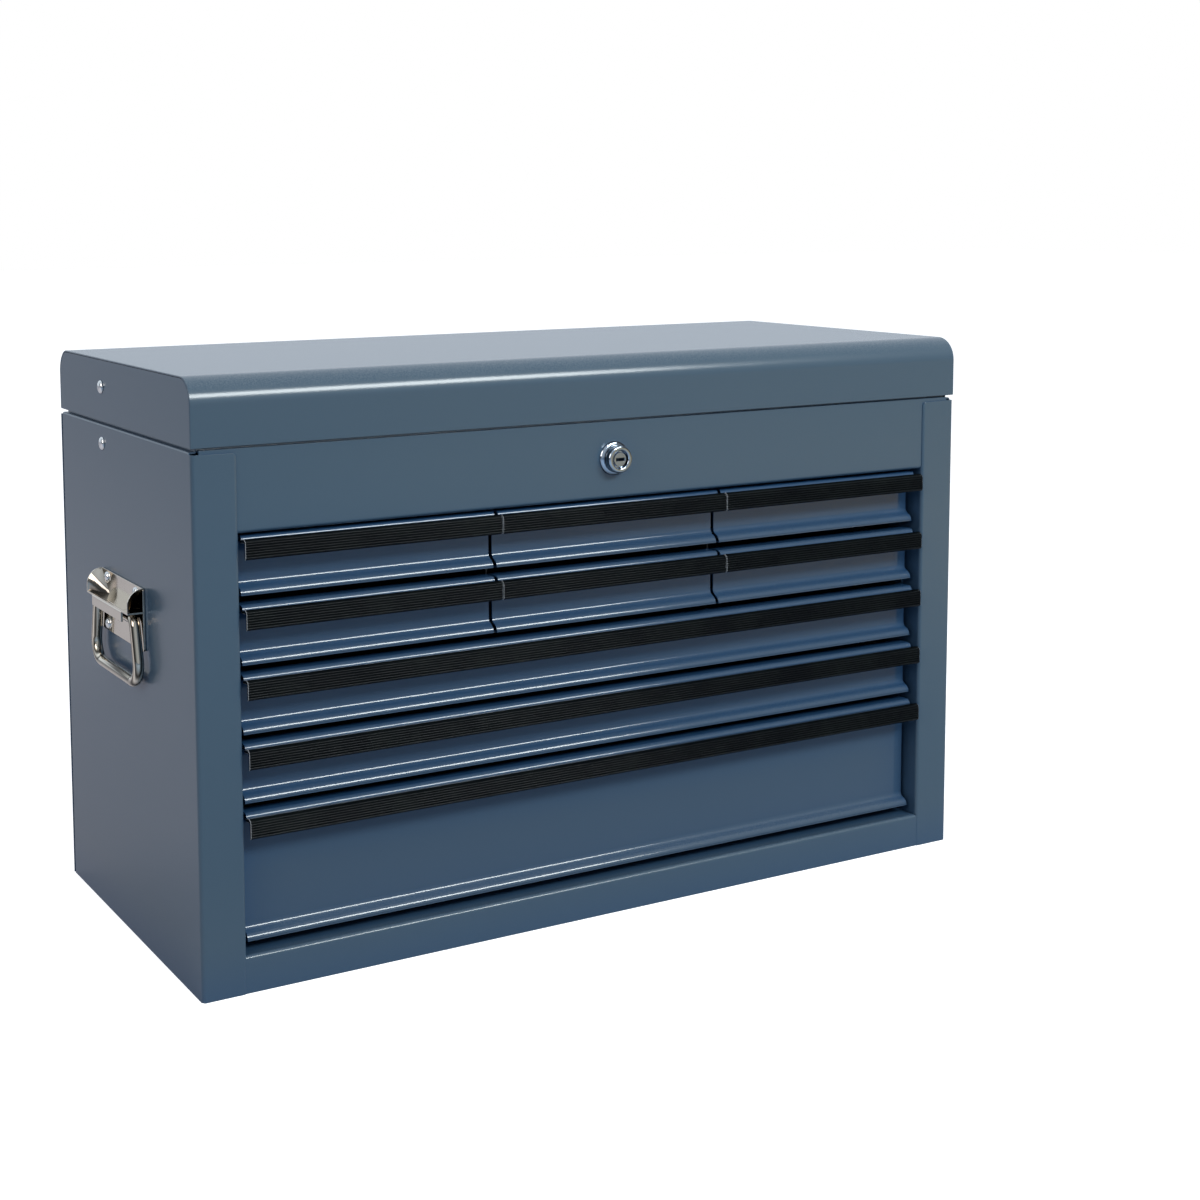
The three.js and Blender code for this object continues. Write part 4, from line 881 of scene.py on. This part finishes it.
def lock_body():
    """Profile of radius and y: bore, shank, nut, flange, then the collar's two rounded edges.

    Each edge is a quarter circle of radius r. The outer one comes in by r (1 - cos t), and lies
    r (1 - sin t) behind the face. The inner one has the two the other way round.
    """
    bore, shank, nut, flange, collar, edge = 6.6, 9, 12.5, 13, 10.25, 1.4
    rear, face = lock_high[1] / MM, lock_low[1] / MM
    nut_rear, nut_front, flange_rear = -141.5, -144.5, -146.3
    dish = [[12.8, -146.9], [12.2, -147.5], [11.2, -147.9], [collar, -148.0]]
    t = np.linspace(0, np.pi / 2, 7)
    outer_edge = np.stack([collar - edge * (1 - np.cos(t)), face + edge * (1 - np.sin(t))], 1)
    inner_edge = np.stack([bore + 1 - np.sin(t), face + 1 - np.cos(t)], 1)
    profile = np.vstack([
        [[bore, rear], [shank, rear], [shank, nut_rear], [nut, nut_rear], [nut, nut_front],
         [shank, nut_front], [shank, flange_rear], [flange, flange_rear]],
        dish, outer_edge, inner_edge, [[bore, rear]]])
    return turned(profile * MM, (0, 0, LOCK_Z), "y", LOCK_SIDES, caps=False)


def lock_plug():
    """Rings from the shank over a groove to the face, into the keyhole loop and down its slot.

    The loop is the circle divided by max(|cos a| / half width, |sin a| / half height).
    """
    a = np.linspace(0, 2 * np.pi, LOCK_SIDES, endpoint=False)
    circle = np.stack([np.cos(a), np.sin(a)], 1)
    slot = circle / np.max(np.abs(circle) / KEYHOLE, axis=1)[:, None]
    rear, groove, face, slot_end = -123, -151.6, -153.8, -140
    shank, nose = circle * 6.3, circle * 5.4
    rings = [(shank, rear), (shank, groove), (nose, groove), (nose, face + 0.3),
             (circle * 5.1, face), (slot * 1.15, face), (slot, face + 0.2), (slot, slot_end)]
    rings = [np.column_stack([xz[:, 0], np.full(LOCK_SIDES, y), xz[:, 1]]) for xz, y in rings]
    return skin(np.stack(rings) * MM)


def cam():
    """The hooked arm behind the plug, a flat outline in x and z, 2 mm thick."""
    arm, hook_near, hook_far, hook_top = 5, -15.5, -22, 13
    outline = np.array([[arm, -arm], [arm, arm], [hook_near, arm], [hook_near, hook_top],
                        [hook_far, hook_top], [hook_far, -arm]])
    return along("y", outline * MM, -124 * MM, -122 * MM)


piece("lock_barrel", lock_body(), "case", lock_plate_painted_reflection, ["lock_body"], sharp=28)
piece("lock_plug_turned", shifted(joined(lock_plug(), cam()), z=LOCK_Z), "lock_plug", plug_steel,
      ["lock_plug"], sharp=28)
print("lock centre at", round(LOCK_Z / MM, 2))

# %% [markdown]
# ## Rivets of the lid stays
# A domed rivet head shows on each side of the case and of the lid. Inside, the shank carries a
# spacer, the link and a clinched head. A dome is a quarter of an ellipse spun about the shank.

# %% Stay rivets
WALL_IN, WALL_OUT = RIGHT / MM - 1.5, RIGHT / MM + 0.3
ON_AXIS = 0.01


def domed_head(radius, place, rise, steps):
    """Profile of a dome, (radius cos a, place + rise sin a), that ends at its top."""
    a = np.linspace(0, np.pi / 2, steps)
    dome = np.stack([radius * np.cos(a), place + rise * np.sin(a)], 1)
    return np.vstack([dome[:-1], [[ON_AXIS, place + rise]]])


def stay_rivet(name):
    """Profile along x: clinched head, shank in the link, spacer, shank in the wall, dome.

    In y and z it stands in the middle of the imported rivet's box, and it starts where the box does.
    """
    low, high = box_of(name)
    middle = (low + high) / 2
    shank, spacer, head, play = 2.2, 4.2, 1.5, 0.3
    inner = low[0] / MM
    link_in, link_out = inner + head, inner + head + 1.5
    profile = np.vstack([
        [[ON_AXIS, inner], [spacer, inner], [spacer, link_in - play], [shank, link_in - play],
         [shank, link_out + play], [spacer, link_out + play], [spacer, WALL_IN],
         [shank, WALL_IN], [shank, WALL_OUT]],
        domed_head(5, WALL_OUT, 2.2, 8)])
    return turned(profile * MM, (0, middle[1], middle[2]), "x", 28)


for body in ("case", "lid"):
    rivet = stay_rivet(f"right_{body}_stay_rivet")
    for side, part in (("right", rivet), ("left", mirrored(rivet))):
        piece(f"{side}_{body}_rivet", part, body, rivet_steel,
              [f"{side}_{body}_stay_rivet"], sharp=30)
print("stay rivets of", len(rivet[0]), "points")

# %% [markdown]
# ## Drop handles
# The bracket is pressed from one strip: a plate riveted to the side, a shelf that turns out with
# a band hanging from its edge, and at each end an ear that scoops from the plate round to the
# shelf. The bail is a wire bent to a trapezium whose ends meet behind the band. The ear is a
# ruled surface between its round rim and its foot, and the wire is a ring carried along a path.

# %% Handle brackets
bracket_low, bracket_high = box_of("right_handle_bracket")
PLATE_HALF, PLATE_LOW, PLATE_TOP = bracket_high[1], bracket_low[2], bracket_high[2]
PLATE_FACE, SHELF_LOW, SHELF_TOP = 331.5, 249, 250.5
BAND_FACE, BAND_FOOT, BAND_HALF = bracket_high[0] / MM, 242, 34 * MM
PRESSED = 1.5


def ear():
    """Ruled surface from the rim, a quarter circle and a short drop, to the crease at its foot.

    The rim goes from the plate's top corner out to the tip of the shelf. The foot follows the
    plate, then the shelf, and lies furthest in at its middle. Between them each line bulges by
    1.2 mm times sin(pi v) sin(pi share).
    """
    foot, tip, base, top = 331.4, 343.2, 250.1, PLATE_TOP / MM
    end, scoop = 46, 18
    radius = tip - foot
    a = np.linspace(np.pi / 2, 0, 17)
    arc = np.stack([tip - radius * (1 - np.cos(a)), top - radius * (1 - np.sin(a))], 1)
    rim = np.vstack([arc, [[tip, base]]])
    share = np.linspace(0, 1, len(rim))
    foot_z = top + (base - top) * np.minimum(1, 2 * share)
    foot_x = foot + (tip - PRESSED - foot) * np.maximum(0, 2 * share - 1)
    foot_y = end - scoop * (1 - np.abs(2 * share - 1))
    v = np.linspace(0, 1, 7)[:, None]
    belly = 1.2 * np.sin(np.pi * v) * np.sin(np.pi * share)
    x = rim[:, 0] + (foot_x - rim[:, 0]) * v
    y = end + (foot_y - end) * v + belly
    z = rim[:, 1] + (foot_z - rim[:, 1]) * v
    return np.stack([x, y, z], -1) * MM


def shell(grid, offset):
    """A grid and its copy moved by an offset, closed along all four edges."""
    rows, columns = grid.shape[:2]
    both = np.stack([grid, grid + offset])
    index = np.arange(2 * rows * columns).reshape(2, rows, columns)

    def quads(a):
        """Corner (i, j) of a grid of point numbers joins its three neighbours, as in a skin."""
        return np.stack([a[:-1, :-1], a[:-1, 1:], a[1:, 1:], a[1:, :-1]], -1).reshape(-1, 4)

    sides = [index[:, 0], index[:, -1], index[:, :, 0], index[:, :, -1]]
    faces = np.vstack([quads(index[0]), quads(index[1])] + [quads(s) for s in sides])
    return both.reshape(-1, 3), faces.tolist()


def handle_bracket():
    """Plate, shelf with its hanging band and two ears. The band's fold is two rounded paths."""
    plate = rounded_loop(PLATE_HALF, PLATE_LOW, PLATE_TOP, 2 * MM, 5)
    plate = along("x", plate, WALL_OUT * MM, (WALL_OUT + PRESSED) * MM)
    outside = [[PLATE_FACE, SHELF_TOP], [BAND_FACE, SHELF_TOP], [BAND_FACE, BAND_FOOT]]
    inside = [[PLATE_FACE, SHELF_LOW], [BAND_FACE - PRESSED, SHELF_LOW],
              [BAND_FACE - PRESSED, BAND_FOOT]]
    fold = np.vstack([rounded_path(np.array(outside) * MM, [0, 2.2 * MM, 0]),
                      rounded_path(np.array(inside) * MM, [0, 0.7 * MM, 0])[::-1]])
    band = along("y", fold, -BAND_HALF, BAND_HALF)
    outline = rectangle(PLATE_FACE, BAND_FACE - 0.4, SHELF_LOW, SHELF_TOP - 0.1) * MM
    shelf = along("y", outline, -PLATE_HALF, PLATE_HALF)
    far_ear = shell(ear(), np.array([0, PRESSED, 0]) * MM)
    near_ear = far_ear[0] * [1, -1, 1], [face[::-1] for face in far_ear[1]]
    return joined(plate, band, shelf, far_ear, near_ear)


def handle_rivets():
    """Four domes, each a quarter of an ellipse spun about its shank."""
    shank, head, seat = 2, 4.2, 331.2
    across, rows = 32.8, (261.8, 226.7)
    profile = np.vstack([[[shank, WALL_IN], [shank, seat], [head, seat]],
                         domed_head(head, seat + 0.4, 2.6, 7)]) * MM
    return joined(*[turned(profile, (0, y * MM, z * MM), "x", 24)
                    for y in (-across, across) for z in rows])


bracket, heads = handle_bracket(), handle_rivets()
print("bracket points", len(bracket[0]), "rivet points", len(heads[0]))

# %% [markdown]
# ## Bails
# The wire is 8 mm thick. Its path lies in one plane, so each ring is spanned by the plane's
# normal and by the direction across the path, and nothing twists on the way round.


# %% Bails, and the handles' pieces
def wire(path, normal, radius, sides=20):
    """A round wire: each ring lies across the path, spanned by the fixed normal and its cross
    product with the tangent."""
    tangent = np.gradient(path, axis=0)
    tangent /= np.linalg.norm(tangent, axis=1)[:, None]
    across = np.cross(tangent, normal)
    a = np.linspace(0, 2 * np.pi, sides, endpoint=False)[None, :, None]
    rings = path[:, None] + radius * (np.cos(a) * np.asarray(normal) + np.sin(a) * across[:, None])
    return skin(rings)


def bail():
    """Trapezium of wire with rounded corners, its two ends 2 mm apart at the top."""
    bail_low, bail_high = box_of("right_handle_bail")
    radius = 4 * MM
    x, top = (bail_low[0] + bail_high[0]) / 2, bail_high[2] - radius
    end, shoulder, corner, drop = 1, 41.5, 52, -46
    corners = np.array([[end, 0], [shoulder, 0], [corner, drop], [-corner, drop],
                        [-shoulder, 0], [-end, 0]]) * MM
    line = rounded_path(corners, np.array([0, 7, 14, 14, 7, 0]) * MM, 12)
    path = np.column_stack([np.full(len(line), x), line[:, 0], line[:, 1] + top])
    return wire(path, np.array([1.0, 0, 0]), radius)


right_parts = (bracket, bail(), heads)
for side in ("right", "left"):
    parts = right_parts if side == "right" else [mirrored(part) for part in right_parts]
    piece(f"{side}_bracket", parts[0], "case", chrome,
          [f"{side}_handle_bracket"], sharp=30, bevel=0.25 * MM)
    piece(f"{side}_bail_wire", parts[1], f"{side}_bail", wire_painted_reflection,
          [f"{side}_handle_bail"], sharp=40)
    piece(f"{side}_handle_rivets", parts[2], "case", rivet_steel, sharp=40)
print("bail points", len(right_parts[1][0]))

# %% [markdown]
# ## Floor and backdrop
# The photograph is a cut-out on white, but the room that the enamel mirrors isn't white all
# round. So the floor and the world are white only for the camera. For reflections the floor has
# a cool and a warm side, and the world is dark in front and at the left, and bright behind and
# above. That is what makes the lid's top pale, and it adds to the contrast of the plated parts,
# whose colour also carries a painted reflection.

# %% Floor
FLOOR_HALF = 14
WHITE = (1, 1, 1, 1)
COOL, WARM, REAR = (0.20, 0.26, 0.34, 1), (0.98, 0.76, 0.42, 1), (0.66, 0.62, 0.64, 1)


def mixed_shaders(tree, share, first, second):
    """The first shader at share 0 and the second one at share 1."""
    return node(tree, "MixShader", i0=share, i1=first, i2=second).outputs[0]


floor_material, tree, shader = new_material("studio_floor", Roughness=0.9)
to_camera = node(tree, "LightPath").outputs["Is Camera Ray"]
place = node(tree, "SeparateXYZ", Vector=object_place(tree)).outputs
front_tone = mixed(tree, stretched(tree, place["X"], 0.4, 2.1), COOL, WARM)
mirrored_tone = mixed(tree, stretched(tree, place["Y"], -0.4, 0.2), front_tone, REAR)
shown = mixed(tree, to_camera, mirrored_tone, (0.82, 0.82, 0.82, 1))
put(tree, shader.inputs["Base Color"], shown)
shine = node(tree, "Emission", Color=WHITE, Strength=0.74)
lit = node(tree, "AddShader", i0=shader.outputs[0], i1=shine.outputs[0])
surface = mixed_shaders(tree, to_camera, shader.outputs[0], lit.outputs[0])
put(tree, tree.nodes["Material Output"].inputs["Surface"], surface)
floor_mesh = bpy.data.meshes.new("studio_floor")
corners = rectangle(-FLOOR_HALF, FLOOR_HALF, -FLOOR_HALF, FLOOR_HALF)
floor_mesh.from_pydata(np.column_stack([corners, np.zeros(4)]).tolist(), [], [(0, 1, 2, 3)])
floor_mesh.materials.append(floor_material)
new_object("studio_floor", floor_mesh)
print("floor", 2 * FLOOR_HALF, "m wide")

# %% World
world = bpy.data.worlds.new("studio")
bpy.context.scene.world = world
world.use_nodes = True
tree = world.node_tree
rays = node(tree, "LightPath").outputs
soft_light = tree.nodes["Background"]
soft_light.inputs["Color"].default_value = (0.88, 0.97, 1.09, 1)
soft_light.inputs["Strength"].default_value = 0.49
way = node(tree, "SeparateXYZ", Vector=node(tree, "TexCoord").outputs["Generated"]).outputs
behind = stretched(tree, way["Y"], -0.35, 0.35, To_Min=0.30, To_Max=0.70)
above = stretched(tree, way["Z"], 0.45, 0.9, To_Min=0.0, To_Max=0.6)
brighter = node(tree, "Math", {"operation": "MAXIMUM"}, i0=behind, i1=above).outputs[0]
rightward = stretched(tree, way["X"], -0.95, -0.55, To_Min=0.25, To_Max=1.06)
walls = node(tree, "Background", Color=(0.88, 0.97, 1.08, 1),
             Strength=product(tree, brighter, rightward))
seen = node(tree, "Background", Color=WHITE, Strength=1.0)
unseen = mixed_shaders(tree, rays["Is Glossy Ray"], soft_light.outputs[0], walls.outputs[0])
backdrop = mixed_shaders(tree, rays["Is Camera Ray"], unseen, seen.outputs[0])
put(tree, tree.nodes["World Output"].inputs["Surface"], backdrop)
print("world nodes", len(tree.nodes))

# %% [markdown]
# ## Lamps
# One long lamp hangs in front and to the right, about thirty degrees up. Every bend mirrors it,
# so it draws the lines on the lid, on each bead and on each foot. A weaker lamp at the left
# lights the side panel, a little warmer.


# %% Lamps
def lamp(name, azimuth, elevation, distance, size, power, colour):
    """A rectangular lamp aimed at the middle of the chest. Azimuth 0 is in front, and positive
    angles go to the right."""
    data = bpy.data.lights.new(name, "AREA")
    data.shape = "RECTANGLE"
    data.size, data.size_y = size
    data.energy, data.color = power, colour
    thing = new_object(name, data)
    a, e = math.radians(azimuth), math.radians(elevation)
    away = Vector((math.sin(a) * math.cos(e), -math.cos(a) * math.cos(e), math.sin(e)))
    thing.location = Vector((0, 0, 0.3)) + away * distance
    thing.rotation_mode = "QUATERNION"
    thing.rotation_quaternion = away.to_track_quat("Z", "Y")


lamp("long_lamp", azimuth=21, elevation=32, distance=2.6, size=(1.35, 0.60), power=48,
     colour=(0.94, 1.0, 1.0))
lamp("left_fill", azimuth=-75, elevation=25, distance=3.0, size=(2.0, 1.5), power=24,
     colour=(1.08, 1.0, 0.97))
bpy.context.scene.view_settings.view_transform = "Standard"
